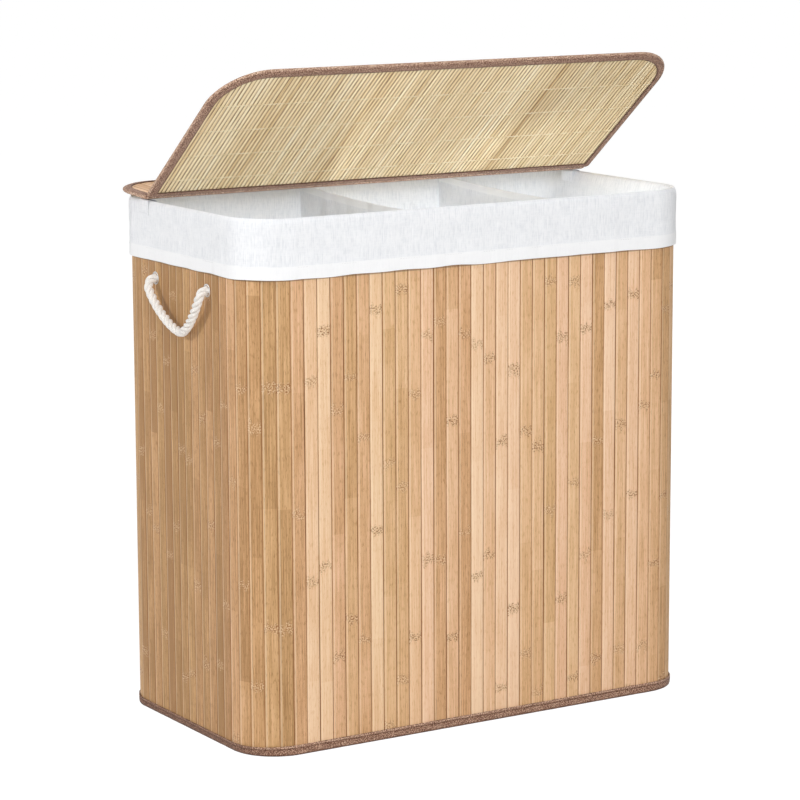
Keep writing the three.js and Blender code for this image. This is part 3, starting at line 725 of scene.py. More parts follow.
# %% Split bamboo
SLAT_TONES = (
    (0.0, (0.35, 0.20, 0.083)),
    (0.3, (0.565, 0.35, 0.172)),
    (0.62, (0.745, 0.505, 0.312)),
    (1.0, (0.87, 0.675, 0.48)),
)
SLAT_TINTS = ((1.01, 0.965, 0.86), (1.04, 0.945, 0.93))
FIBRE_SCALE = (950, 13)
FIBRE_SHARE = 0.72
STREAK_SCALE = (420, 4)
STREAK_SHARE = 0.42
PATCH_SCALE = (70, 16)
PATCH_SHARE = 0.26
LUCK_SHARE = 0.22
PORE_SCALE = (760, 120)
PORE_SHARE = 0.2
SLAT_BUMP = 0.22 * MM
DRAW_SPREAD = 971
HUE_SEED = 77.0


def draw(tree, first, second):
    """A random number, 0 to 1, for each pair of values."""
    pair = {"X": times(tree, first, DRAW_SPREAD), "Y": second}
    cell = add_node(tree, "ShaderNodeCombineXYZ", pair).outputs[0]
    return add_node(
        tree, "ShaderNodeTexWhiteNoise", {"Vector": cell}, noise_dimensions="2D").outputs[0]


def bamboo_grain(tree, place, tone, luck):
    """Colour from the tone plus streaks, fibres, patches and luck, less the dark pores."""
    fibre = noise(tree, place, FIBRE_SCALE, 3)
    streak = noise(tree, place, STREAK_SCALE, 2)
    pore = limit(tree, noise(tree, place, PORE_SCALE, 2), 0.56, 0.7)
    patch = noise(tree, place, PATCH_SCALE, 2)
    value = tone
    for part, share in (
        (streak, STREAK_SHARE), (fibre, FIBRE_SHARE), (patch, PATCH_SHARE), (luck, LUCK_SHARE),
    ):
        value = sway(tree, value, part, share)
    value = calc(tree, "SUBTRACT", value, times(tree, pore, PORE_SHARE))
    tint = blend_colours(tree, draw(tree, tone, HUE_SEED), SLAT_TINTS[0], SLAT_TINTS[1])
    colour = blend_colours(tree, 1.0, ramp(tree, value, SLAT_TONES), tint, "MULTIPLY")
    return colour, fibre, streak


# %% [markdown]
# ## Knots in the bamboo
#
# A knot is a band of short speckles about 16 mm high. It could be modelled as a
# ridge, but on planed bamboo it is nearly flat and mostly a change of colour.
# The `knots` attribute counts knots along the strip, so the distance to the
# nearest one is what is left when that count is rounded, times the spacing. A
# slow noise bends the band, and a fine one breaks it into speckles.

# %% Knots in the bamboo
KNOT_COLOUR = (0.27, 0.105, 0.03)
KNOT_GLOW = (0.50, 0.27, 0.12)
KNOT_PALE = (0.88, 0.70, 0.47)
KNOT_REACH = 8 * MM
KNOT_SPACING = 275 * MM
KNOT_WANDER = 20 * MM
KNOT_WANDER_SCALE = (190, 60)
KNOT_GRAIN_SCALE = (620, 560)
KNOT_GLOW_SHARE = 0.3
KNOT_PALE_SHARE = 0.45


def add_knots(tree, place, knots, luck, colour):
    """Speckles where the distance to the nearest knot is under the reach."""
    away = calc(tree, "SUBTRACT", calc(tree, "FRACT", calc(tree, "ADD", knots, 0.5)), 0.5)
    away = times(tree, away, KNOT_SPACING)
    bend = calc(tree, "SUBTRACT", noise(tree, place, KNOT_WANDER_SCALE, 2), 0.5)
    away = calc(tree, "ABSOLUTE", calc(tree, "ADD", away, times(tree, bend, KNOT_WANDER)))
    zone = limit(tree, away, KNOT_REACH, KNOT_REACH / 4)
    grain = noise(tree, place, KNOT_GRAIN_SCALE, 2)
    dark = times(tree, zone, limit(tree, grain, 0.52, 0.6))
    pale = times(tree, zone, limit(tree, grain, 0.48, 0.4))
    mark = times(tree, dark, limit(tree, luck, 0.0, 1.0, 0.4, 1.0))
    colour = blend_colours(tree, times(tree, zone, KNOT_GLOW_SHARE), colour, KNOT_GLOW)
    colour = blend_colours(tree, times(tree, pale, KNOT_PALE_SHARE), colour, KNOT_PALE)
    return blend_colours(tree, mark, colour, KNOT_COLOUR), mark


# %% [markdown]
# ## Edges and the finished bamboo
#
# The `edge` attribute runs from -1 to 1 across a strip. A painted highlight makes
# one edge a little paler, and both sides are dark, which draws the joints. The
# thin shade under the cuff could be left to the lamps, but they are too soft for
# it, so it is painted in, blended by height, from the piece's own Object
# coordinates.

# %% Edges and the finished bamboo
# A painted highlight along one edge of each strip, where its bevel would catch the light.
SLAT_HIGHLIGHT_COLOUR = (0.96, 0.79, 0.58)
EDGE_HIGHLIGHT_SHARE = 0.3
SIDE_COLOUR = (0.29, 0.115, 0.032)
SIDE_SHARE = 0.92
CUFF_BOTTOM = 560 * MM
HEM_SHADE_COLOUR = (0.13, 0.075, 0.04)
HEM_SHADE_REACH = 2.8 * MM
HEM_SHADE = 0.58
HEM_SHADE_FADE = 4 * MM


def shade_edges(tree, colour):
    """A painted highlight on one edge, dark sides, and a painted shade from just under the cuff's edge up to
    the rim.
    """
    edge = read(tree, "edge")
    # Painted highlight: a pale band near the strip's one edge.
    highlight_band = times(tree, limit(tree, edge, -0.92, -0.8), limit(tree, edge, -0.6, -0.7))
    colour = blend_colours(tree, times(tree, highlight_band, EDGE_HIGHLIGHT_SHARE), colour, SLAT_HIGHLIGHT_COLOUR)
    side = limit(tree, calc(tree, "ABSOLUTE", edge), 0.94, 0.985, 0.0, SIDE_SHARE)
    colour = blend_colours(tree, side, colour, SIDE_COLOUR)
    level = add_node(tree, "ShaderNodeSeparateXYZ", {"Vector": own_place(tree)}).outputs["Z"]
    shade = limit(
        tree, level, CUFF_BOTTOM - HEM_SHADE_REACH, CUFF_BOTTOM - HEM_SHADE_REACH / 2, 0.0, HEM_SHADE)
    shade = times(tree, shade, limit(tree, level, RIM_HEIGHT + HEM_SHADE_FADE, RIM_HEIGHT))
    return blend_colours(tree, shade, colour, HEM_SHADE_COLOUR)


def slat_material():
    """Split bamboo: grain, then knots, then edges, with a bump along the fibres."""
    made, tree, shader = new_material("slat_bamboo", 0.6, Specular_IOR_Level=0.35)
    place = own_uv(tree)
    knots = read(tree, "knots")
    tone = read(tree, "tone")
    stretch = calc(tree, "FLOOR", calc(tree, "ADD", knots, 0.5))
    luck = draw(tree, tone, stretch)
    colour, fibre, streak = bamboo_grain(tree, place, tone, luck)
    colour, mark = add_knots(tree, place, knots, luck, colour)
    height = calc(tree, "ADD", fibre, weighed(tree, (streak, 0.6), (mark, -0.7)))
    dress(tree, shader, shade_edges(tree, colour), height, SLAT_BUMP, 0.5)
    return made


slat_bamboo = shown(slat_material())

# %% [markdown]
# ## The slat curtain
#
# The wall is about a hundred strips glued side by side on cloth. One curved board
# with lines drawn on it would look too smooth at the corners. So every strip is
# a flat bar with rounded front edges, and the curtain turns each corner in five
# of them. Neighbours differ in tone, stand a hair proud of each other or behind,
# and bow slightly along their length.

# %% The slat's shape and the way it varies
SLAT_COUNT = 104
SLAT_PITCH = GIRTH / SLAT_COUNT
SLAT_THICKNESS = 1.6 * MM
JOINT_GAP = 0.35 * MM
BEVEL_WIDTH = 2.4 * MM
BEVEL_DEPTH = 0.65 * MM
BEVEL_SHARES = ((0.0, 1.0), (0.06, 0.55), (0.25, 0.24), (0.58, 0.06), (1.0, 0.0))
CROWN = 0.05 * MM
CROWN_SHARES = (0.34, 0.5, 0.66)
SLAT_PLAY = 0.12 * MM
SLAT_BEND = 0.25 * MM
KNOT_SPACING_SPREAD = 50 * MM
TONE_SPREAD = 0.15
TONE_FLOOR = 0.03
TONE_CEILING = 0.98


def slat_section(width):
    """Outline across a slat, from its back's left corner and counter-clockwise."""
    left, right = JOINT_GAP / 2, width - JOINT_GAP / 2
    points = [(left, -SLAT_THICKNESS), (right, -SLAT_THICKNESS)]
    points += [(right - a * BEVEL_WIDTH, -d * BEVEL_DEPTH) for a, d in BEVEL_SHARES]
    points += [(width * (1 - share), CROWN) for share in CROWN_SHARES]
    points += [(left + a * BEVEL_WIDTH, -d * BEVEL_DEPTH) for a, d in BEVEL_SHARES[::-1]]
    return points


def slat_tones(count, middle):
    """Tones from a bell curve about the middle, wider where the middle is paler."""
    spread = TONE_SPREAD * (0.4 + middle)
    return np.clip(middle + rng.normal(0, spread, count), TONE_FLOOR, TONE_CEILING)


def slat_knots(count):
    """Where each strip's first knot is, and how far apart its knots are."""
    spacing = rng.uniform(KNOT_SPACING - KNOT_SPACING_SPREAD, KNOT_SPACING + KNOT_SPACING_SPREAD, count)
    return rng.uniform(0, 1, count) * spacing, spacing


def slat_wobble(count, levels):
    """How far each strip leans and bows at each level: a piece of a sine wave of its own."""
    share = np.linspace(0, 1, levels)[None, :, None]
    phase = rng.uniform(0, 2 * math.pi, (count, 1, 2))
    bow = np.sin(math.pi * share * rng.uniform(0.6, 2.2, (count, 1, 2)) + phase)
    size = np.array([SLAT_BEND, SLAT_PLAY])[None, None, :] * rng.uniform(0.2, 1, (count, 1, 1))
    return bow * size - np.array([0, SLAT_PLAY])[None, None, :]


print("slats are", round(SLAT_PITCH / MM, 2), "mm wide")

# %% [markdown]
# ## Hanging the slats
#
# The strips are counted round the body from the middle of the front, so a joint
# is a whole number of pitches from the first one. All of them could be one
# piece, but the frame has its own solids for each flat and each corner. The ends
# and corners are darker: a painted shade lowers their tone, as in the photograph.

# %% Hanging the slats
SLAT_PHASE = 2.4 * MM
SLAT_LOW = 1.6 * MM
SLAT_HIGH = 627.2 * MM
SLAT_LEVELS = 13
TONE_MIDDLE = 0.60
# Painted shade: the strips of the ends and corners get darker tones.
END_PAINTED_SHADE = -0.46
CORNER_PAINTED_SHADE = -0.30
FRONT_RIGHT_RUN = 14
CORNER_RUN = 5
END_RUN = 13
REAR_RUN = 29
FRONT_LEFT_RUN = SLAT_COUNT - FRONT_RIGHT_RUN - 4 * CORNER_RUN - 2 * END_RUN - REAR_RUN


def add_slats(name, first, count, tone, *nodes):
    """Strips from joint to joint, each along the chord between two marks on the wall's line."""
    marks = SLAT_PHASE + np.arange(first, first + count + 1) * SLAT_PITCH
    place, _ = body_line(marks)
    start, end = place[:-1], place[1:]
    side = end - start
    width = np.linalg.norm(side, axis=1)
    side /= width[:, None]
    flat = np.zeros((count, 1))
    across = np.concatenate([side, flat], 1)
    outward = np.stack([side[:, 1], -side[:, 0], flat[:, 0]], 1)
    section = np.array(slat_section(SLAT_PITCH))
    base = np.concatenate([start + side * (width - SLAT_PITCH)[:, None] / 2, flat], 1)
    piece = bars(
        name, base, across, outward, np.array([0, 0, 1.0]), section, SLAT_LOW, SLAT_HIGH,
        slat_bamboo, slat_tones(count, tone), slat_knots(count), SLAT_LEVELS,
        slat_wobble(count, SLAT_LEVELS))
    return settle(piece, "hamper", "slats", *nodes)


def corner_nodes(where):
    """The names of one corner's five strips in the frame."""
    return [f"corner_{where}_{index}" for index in range(1, CORNER_RUN + 1)]


SIDES = (
    ("slats_front_right_half", FRONT_RIGHT_RUN, 0, ["wall_front"]),
    ("slats_corner_front_right", CORNER_RUN, CORNER_PAINTED_SHADE, corner_nodes("front_right")),
    ("slats_right", END_RUN, END_PAINTED_SHADE, ["wall_right"]),
    ("slats_corner_rear_right", CORNER_RUN, CORNER_PAINTED_SHADE, corner_nodes("rear_right")),
    ("slats_rear", REAR_RUN, 0, ["wall_rear"]),
    ("slats_corner_rear_left", CORNER_RUN, CORNER_PAINTED_SHADE, corner_nodes("rear_left")),
    ("slats_left", END_RUN, END_PAINTED_SHADE, ["wall_left"]),
    ("slats_corner_front_left", CORNER_RUN, CORNER_PAINTED_SHADE, corner_nodes("front_left")),
    ("slats_front_left_half", FRONT_LEFT_RUN, 0, []),
)
joint = 0
for name, count, shift, nodes in SIDES:
    add_slats(name, joint, count, TONE_MIDDLE + shift, *nodes)
    joint += count

# %% [markdown]
# ## Tape and sewing thread
#
# The edges are bound with a heathered twill tape: brown yarn with paler flecks,
# in short slanting ribs. One flat brown would look like plastic. A fine noise
# makes the flecks, a sine of u plus v the ribs, and an attribute on each tape
# adds painted highlights and painted shade along its folds. The lining is the
# same weave in another brown, and a thread's colour darkens in patches.

# %% Tape and sewing thread
TAPE_TONES = (
    (0.28, (0.088, 0.033, 0.017)),
    (0.48, (0.248, 0.121, 0.072)),
    (0.66, (0.505, 0.297, 0.203)),
    (0.82, (0.80, 0.59, 0.44)),
)
LINING_TONES = ((0.3, (0.42, 0.33, 0.22)), (0.7, (0.60, 0.50, 0.36)))
WEAVE_PITCH = 0.9 * MM
WEAVE = 2 * math.pi / WEAVE_PITCH
FLECK_SCALE = (640, 760)
FLECK_SHARE = 0.75
TAPE_CLOUD_SCALE = (90, 240)
TAPE_CLOUD_SHARE = 0.25
RIB_SHARE = 0.07
PAINTED_LIGHT_SHARE = 0.14
TAPE_BUMP = 0.25 * MM
THREAD_PATCH_SCALE = (14, 40)
THREAD_TWIST_SCALE = (2200, 2200)
THREAD_BUMP = 0.1 * MM
TAPE_THREAD_COLOURS = ((0.40, 0.255, 0.18), (0.30, 0.18, 0.12))


def tape_material(name, tones):
    """Heathered twill: flecks, clouds, slanting ribs and painted light at the folds, added up and turned
    into a colour.
    """
    made, tree, shader = new_material(name, 0.9, Sheen_Weight=0.08, Sheen_Roughness=0.5)
    place = own_uv(tree)
    fleck = limit(tree, noise(tree, place, FLECK_SCALE, 3), 0.32, 0.68, 0.2, 0.8)
    cloud = noise(tree, place, TAPE_CLOUD_SCALE, 2)
    split = add_node(tree, "ShaderNodeSeparateXYZ", {"Vector": place})
    slant = calc(tree, "ADD", split.outputs["X"], split.outputs["Y"])
    ribs = calc(tree, "SINE", times(tree, slant, WEAVE))
    # The attribute adds the tapes' painted highlights and painted shade.
    value = weighed(tree, (fleck, FLECK_SHARE), (cloud, TAPE_CLOUD_SHARE), (ribs, RIB_SHARE),
                    (read(tree, "wear_and_painted_light"), PAINTED_LIGHT_SHARE))
    height = calc(tree, "ADD", times(tree, ribs, 0.5), fleck)
    dress(tree, shader, ramp(tree, value, tones), height, TAPE_BUMP, 0.7)
    return made


def thread_material(name, colour, dark):
    """Sewing thread: its colour, darker in slow patches, with a fine bump for its twist."""
    made, tree, shader = new_material(name, 0.8)
    # Slow patches where the thread is darker with wear.
    wear_and_painted_light = limit(tree, noise(tree, own_uv(tree), THREAD_PATCH_SCALE, 2), 0.44, 0.58)
    twist = noise(tree, own_uv(tree), THREAD_TWIST_SCALE, 1)
    dress(tree, shader, blend_colours(tree, wear_and_painted_light, colour, dark), twist, THREAD_BUMP, 0.6)
    return made


binding_tape = shown(tape_material("binding_tape", TAPE_TONES))
lining_cloth = shown(tape_material("lining_cloth", LINING_TONES))
tape_thread = shown(thread_material("tape_thread", *TAPE_THREAD_COLOURS))

# %% [markdown]
# ## The lining
#
# Behind the slats is the cloth that they are glued to. It could be left out, as
# only its edges could ever show, but it closes the joints between the slats. So
# it is the simplest piece: a plain ring from their bottoms to their tops.

# %% The lining
LINING_OFFSET = -2.7 * MM
LINING_THICKNESS = 0.7 * MM
RING_STEP = 8 * MM


def add_lining():
    """The wall's line at one offset, swept straight up."""
    middle = body_ring([(LINING_OFFSET, z) for z in np.linspace(SLAT_LOW, SLAT_HIGH, 5)], RING_STEP)
    piece = cloth("wall_lining_cloth", middle, LINING_THICKNESS, lining_cloth, around=True)
    settle(piece, "hamper", "lining", "wall_lining")
    declare_sheet(middle)


add_lining()

# %% [markdown]
# ## Stitches
#
# One row of short stitches holds each tape. They could be painted on, but close
# up each one is a bead of thread that catches the light. So each is a spindle
# with six sides, and all of a row's spindles are one mesh.

# %% Stitches
STITCH_LENGTH = 2.6 * MM
STITCH_PITCH = 3.6 * MM
STITCH_WIDTH = 0.55 * MM
STITCH_RISE = 0.22 * MM
STITCH_SIDES = 6
STITCH_SHAPE_SHARES = ((-1.0, 0.15), (-0.7, 0.8), (0.0, 1.0), (0.7, 0.8), (1.0, 0.15))


def stitch_places(line, normal, around):
    """Evenly spaced middles along a line, with the directions along, beside and up from it."""
    closing = line[:1] if around else line[:0]
    path = np.concatenate([line, closing])
    side = np.concatenate([normal, normal[:1] if around else normal[:0]])
    far = steps_along(path)
    count = max(int(far[-1] / STITCH_PITCH), 1)
    at = (np.arange(count) + 0.5) * far[-1] / count

    def along(values, where):
        """Values between the path's own points, by distance."""
        return np.stack([np.interp(where, far, values[:, k]) for k in range(3)], -1)

    centre = along(path, at)
    ahead = along(path, at + STITCH_LENGTH / 2) - along(path, at - STITCH_LENGTH / 2)
    ahead /= np.linalg.norm(ahead, axis=1, keepdims=True)
    up = along(side, at)
    up /= np.linalg.norm(up, axis=1, keepdims=True)
    return centre, ahead, np.cross(up, ahead), up


def stitch_row(name, line, normal, material, around=True):
    """Spindles: rings of points about each stitch's line, wide in its middle and narrow at its ends."""
    centre, ahead, beside, up = stitch_places(line, normal, around)
    angle = np.arange(STITCH_SIDES) * 2 * math.pi / STITCH_SIDES
    rings = []
    for reach, swell in STITCH_SHAPE_SHARES:
        ring = centre[:, None] + ahead[:, None] * reach * STITCH_LENGTH / 2
        ring = ring + beside[:, None] * (np.cos(angle) * swell * STITCH_WIDTH / 2)[None, :, None]
        ring = ring + up[:, None] * (np.sin(angle) * swell * STITCH_RISE)[None, :, None]
        rings.append(ring)
    points = np.stack(rings, 1)
    faces, ends = bar_faces(len(centre), len(rings), STITCH_SIDES)
    flat = points.reshape(-1, 3)
    listed = np.concatenate([faces.ravel(), ends.ravel()])
    uv = np.stack([flat[listed] @ np.array([1, 1, 0]), flat[listed, 2]], -1)
    return make_piece(name, points, faces.tolist() + ends.tolist(), uv, material,
                      sharp_degrees=ROUND_SHARP_DEGREES)


# %% [markdown]
# ## The tape round the bottom
#
# The tape is folded round the raw edge: from its turned top edge down the
# outside, under the slats and up behind them. A plain band would have hard
# edges, so a rounded line through eight points gives the fold. The sewing
# puckers it slightly, and on the real hamper the tape sits lower along the ends.
# A painted highlight lightens its turned edge, and painted shade darkens the
# seam, the bottom and the ends.

# %% The tape round the bottom
TAPE_THICKNESS = 0.8 * MM
BASE_TAPE_TOP = 12.5 * MM
BASE_TAPE_END_SHARE = 0.8
BASE_TAPE_LOW = 0.8 * MM
BASE_TAPE_OFFSET = 0.75 * MM
BASE_TAPE_INNER = -3.8 * MM
TAPE_FOLD = 1.2 * MM
FOLD_COLUMNS = 34
TAPE_PUCKER = 0.12 * MM
STITCH_BELOW_EDGE = 2.6 * MM
# Painted light on the bottom tape: a highlight at its turned edge, and shade at the seam, the floor and the
# ends.
END_TAPE_PAINTED_SHADE = 1.05
EDGE_PAINTED_HIGHLIGHT = 0.9
SEAM_PAINTED_SHADE = 1.5
FLOOR_PAINTED_SHADOW = 2.5
TAPE_TONE_LIFT = 0.25


def tape_height(rows):
    """1 along the front and rear, and less, by the square of the turn, along the ends."""
    _, _, normal = ring_stations(rows)
    return 1 - (1 - BASE_TAPE_END_SHARE) * normal[:, 0] ** 2


def tape_pucker(share, height):
    """Short waves along the tape that grow with height."""
    return TAPE_PUCKER * ripples(share, height / BASE_TAPE_TOP, range(40, 130, 6), 0.1)


def tape_painted_light(rise, normal):
    """A painted highlight at the turned edge, painted shade at the seam below it and at the floor, and more
    painted shade along the ends.
    """
    edge = EDGE_PAINTED_HIGHLIGHT * np.exp(-((rise - 0.9) / 0.06) ** 2)
    seam = SEAM_PAINTED_SHADE * np.exp(-((rise - 0.74) / 0.06) ** 2)
    floor = FLOOR_PAINTED_SHADOW * (1 - ease(rise, 0.06, 0.28))
    return (TAPE_TONE_LIFT + edge - seam - floor)[None, :] - END_TAPE_PAINTED_SHADE * normal[:, :1] ** 2


def add_ring_stitches(name, offset, height, material, low=None):
    """A row of stitches round the wall's line, following the tape's height where low is given."""
    rows = int(GIRTH / RING_STEP * 2)
    _, place, normal = ring_stations(rows)
    flat = np.zeros((rows, 1))
    height = flat + height
    if low is not None:
        height = low + (height - low) * tape_height(rows)[:, None]
    line = np.concatenate([place + normal * offset, height], 1)
    piece = stitch_row(name, line, np.concatenate([normal, flat], 1), material)
    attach(piece, "hamper")


def add_base_tape():
    """The rounded fold carried round the body, thicker where its top edge is turned."""
    outer, inner = BASE_TAPE_OFFSET, BASE_TAPE_INNER
    low, soft = BASE_TAPE_LOW, TAPE_FOLD
    section = smooth_line([
        (inner, 0.8 * BASE_TAPE_TOP), (inner, low + 2 * soft), (inner + soft / 2, low),
        (outer - soft, low), (outer - soft / 4, low + soft / 2), (outer, low + 2 * soft),
        (outer + soft / 6, BASE_TAPE_TOP / 2), (outer, BASE_TAPE_TOP),
    ], FOLD_COLUMNS)
    middle = body_ring(section, RING_STEP / 2, tape_pucker)
    middle[..., 2] = low + (middle[..., 2] - low) * tape_height(len(middle))[:, None]
    swell = 1 + 0.5 * ease(section[:, 1], 0.78 * BASE_TAPE_TOP, 0.86 * BASE_TAPE_TOP)
    swell[:len(section) // 3] = 1
    _, _, normal = ring_stations(len(middle))
    wear_and_painted_light = tape_painted_light(section[:, 1] / BASE_TAPE_TOP, normal)
    piece = cloth("base_tape", middle, TAPE_THICKNESS * swell, binding_tape, True, {"wear_and_painted_light": wear_and_painted_light})
    settle(piece, "hamper", "binding", "base_binding")
    declare_sheet(middle)
    add_ring_stitches("base_tape_stitches", outer + TAPE_THICKNESS * 0.65,
                      BASE_TAPE_TOP - STITCH_BELOW_EDGE, tape_thread, low)


add_base_tape()

# %% [markdown]
# ## The tape on the rim
#
# The same tape is folded over the slats' tops. The cuff hides it, so it could be
# left out, but it fills out the cuff at the rim. It has no stitches.

# %% The tape on the rim
RIM_TAPE_LOW = 614.5 * MM
RIM_TAPE_TOP = 628.1 * MM
RIM_TAPE_COLUMNS = 26


def add_rim_tape():
    """The rounded fold, upside down, carried round the body."""
    outer, inner = BASE_TAPE_OFFSET, BASE_TAPE_INNER
    soft = TAPE_FOLD
    section = smooth_line([
        (outer, RIM_TAPE_LOW), (outer, RIM_TAPE_TOP - 2 * soft), (outer - soft / 2, RIM_TAPE_TOP),
        (inner + soft / 2, RIM_TAPE_TOP), (inner, RIM_TAPE_TOP - 2 * soft), (inner, RIM_TAPE_LOW),
    ], RIM_TAPE_COLUMNS)
    middle = body_ring(section, RING_STEP)
    piece = cloth("rim_tape", middle, TAPE_THICKNESS, binding_tape, around=True)
    settle(piece, "hamper", "binding", "rim_binding")
    declare_sheet(middle)


add_rim_tape()

# %% [markdown]
# ## The cover under the base board
#
# A flat cloth closes the bottom. One face with hundreds of corners would be quick
# to make, but it shades badly. So the grid runs from the cloth's rim inward,
# ring by ring, to a line down the middle.

# %% The cover under the base board
BASE_COVER_HEIGHT = 0.4 * MM
BASE_COVER_OFFSET = -4.6 * MM
SPINE_SHARE = 0.995
BASE_COVER_RINGS = 10


def body_plate(offset, height, rings, step):
    """A flat grid inside the walls: each point slides from the rim to the spine's nearest point."""
    rows = int(round(GIRTH / step))
    _, place, normal = ring_stations(rows)
    rim = place + normal * offset
    spine = np.stack([np.clip(rim[:, 0], -HALF_RUN_X, HALF_RUN_X), np.zeros(rows)], -1)
    share = np.linspace(0, SPINE_SHARE, rings)[None, :, None]
    plan = rim[:, None] * (1 - share) + spine[:, None] * share
    return np.concatenate([plan, np.full((rows, rings, 1), height)], -1)


def add_base_cover():
    """A flat cloth whose area is its rectangle less what its round corners leave out."""
    middle = body_plate(BASE_COVER_OFFSET, BASE_COVER_HEIGHT, BASE_COVER_RINGS, RING_STEP)
    piece = cloth("base_cover_cloth", middle, 2 * BASE_COVER_HEIGHT, lining_cloth, around=True)
    settle(piece, "hamper", "lining", "base_cover")


add_base_cover()

# %% [markdown]
# ## White cloth
#
# The liner is a white plain weave with slubs, the heavier bits of yarn in cotton.
# Pure white would lose every fold, so the cloth is a pale grey with a little
# blue, and only its doubled hem is nearly white. The threads are two sine waves
# multiplied, over and under, and noises make the yarns' streaks, the slubs and
# the creases.

# %% White cloth
LINER_TONES = ((0.36, (0.735, 0.75, 0.78)), (0.5, (0.84, 0.85, 0.87)), (0.64, (0.90, 0.905, 0.92)))
HEM_COLOUR = (0.93, 0.93, 0.935)
HEM_SHARE = 0.75
WARP_SCALE = (1150, 55)
WARP_SHARE = 0.5
WEFT_SCALE = (60, 950)
WEFT_SHARE = 0.14
CREASE_SCALE = (70, 52)
CREASE_SHARE = 0.16
SLUB_SCALE = (330, 170)
SLUB_SHARE = 0.2
LINER_BUMP = 0.16 * MM
WHITE_THREAD_COLOURS = ((0.80, 0.80, 0.81), (0.70, 0.71, 0.73))


def weave_height(tree, place):
    """Threads over and under each other: the product of two waves."""
    split = add_node(tree, "ShaderNodeSeparateXYZ", {"Vector": place})
    across = calc(tree, "SINE", times(tree, split.outputs["X"], WEAVE))
    along = calc(tree, "SINE", times(tree, split.outputs["Y"], WEAVE))
    return times(tree, across, along)


def liner_material():
    """White weave: streaks, slubs and creases for the colour, and threads as well for the bump."""
    made, tree, shader = new_material("liner_cloth", 0.88, Sheen_Weight=0.15, Sheen_Roughness=0.6)
    place = own_uv(tree)
    warp = noise(tree, place, WARP_SCALE, 3)
    weft = noise(tree, place, WEFT_SCALE, 2)
    crease = noise(tree, place, CREASE_SCALE, 3)
    slub = noise(tree, place, SLUB_SCALE, 2)
    value = weighed(tree, (warp, WARP_SHARE), (weft, WEFT_SHARE), (crease, CREASE_SHARE), (slub, SLUB_SHARE))
    hem = limit(tree, read(tree, "hem"), 0.2, 0.8, 0.0, HEM_SHARE)
    colour = blend_colours(tree, hem, ramp(tree, value, LINER_TONES), HEM_COLOUR)
    height = weighed(tree, (warp, 2.0), (weave_height(tree, place), 0.35), (crease, 3.0))
    dress(tree, shader, colour, height, LINER_BUMP, 0.6)
    return made


liner_cloth = shown(liner_material())
white_thread = shown(thread_material("white_thread", *WHITE_THREAD_COLOURS))

# %% [markdown]
# ## The liner's bag
#
# The bag hangs from a seam near the rim and rests on the base board. A cloth
# simulation would find its folds, at a cost in time. It hangs nearly flat, so a
# few smooth waves do as well. They only ever push the cloth inward, where there
# is room, and die out at the seam and at the floor.

# %% The liner's bag
LINER_THICKNESS = 0.8 * MM
LINER_OFFSET = -9.2 * MM
LINER_FLOOR = 5.9 * MM
LINER_FLOOR_BEND = 9 * MM
LINER_SEAM = 559.6 * MM
LINER_SAG = 3.2 * MM
LINER_STEP = 5 * MM
LINER_WALL_ROWS = 40
LINER_BEND_STEPS = 6
LINER_FLOOR_RINGS = 12


def bag_relief(share, height):
    """Folds that hang from the seam, only ever inward, and flatten at the floor."""
    fold = ripples(share, height / RIM_HEIGHT, range(9, 40, 3), 0.5)
    slack = ease(height, LINER_FLOOR, RIM_HEIGHT / 5) * (1 - ease(height, 0.9 * LINER_SEAM, LINER_SEAM))
    return -LINER_SAG * slack * (0.5 + 0.5 * np.tanh(fold))


def add_bag():
    """Walls from the seam down, a quarter circle for the bend, and the floor drawn in to the middle."""
    bend = LINER_FLOOR_BEND
    turn = np.linspace(0, math.pi / 2, LINER_BEND_STEPS)[1:]
    heights = np.linspace(LINER_SEAM, LINER_FLOOR + bend, LINER_WALL_ROWS)
    walls = [(LINER_OFFSET, z) for z in heights]
    walls += [
        (LINER_OFFSET - bend * (1 - math.cos(a)), LINER_FLOOR + bend * (1 - math.sin(a))) for a in turn]
    side = body_ring(walls, LINER_STEP, bag_relief)
    floor = body_plate(LINER_OFFSET - bend, LINER_FLOOR, LINER_FLOOR_RINGS, LINER_STEP)[:, 1:]
    middle = np.concatenate([side, floor], axis=1)
    piece = cloth("liner_bag_cloth", middle, LINER_THICKNESS, liner_cloth, around=True)
    settle(piece, "hamper", "liner", "liner_bag")


add_bag()

# %% [markdown]
# ## The cuff
#
# The top of the same cloth is turned over the rim and down the outside, where it
# ends in a doubled hem. It could be a band outside and another inside, but one
# sheet can't come apart at the rim. Long waves make it billow towards its lower
# edge, short ones pucker it, and its edges rise and fall by less than a
# millimetre, which keeps them from looking cut from card.

# %% The cuff
CUFF_THICKNESS = 0.9 * MM
CUFF_SEAM = 560 * MM
CUFF_OFFSET = 1.75 * MM
CUFF_BILLOW = 0.6 * MM
CUFF_LIFT = 0.7 * MM
CUFF_DROP = 0.8 * MM
CUFF_FOLD = 2.2 * MM
CUFF_COLUMNS = 72
HEM_HEIGHT = 15 * MM
HEM_THICKNESS = 1.6 * MM


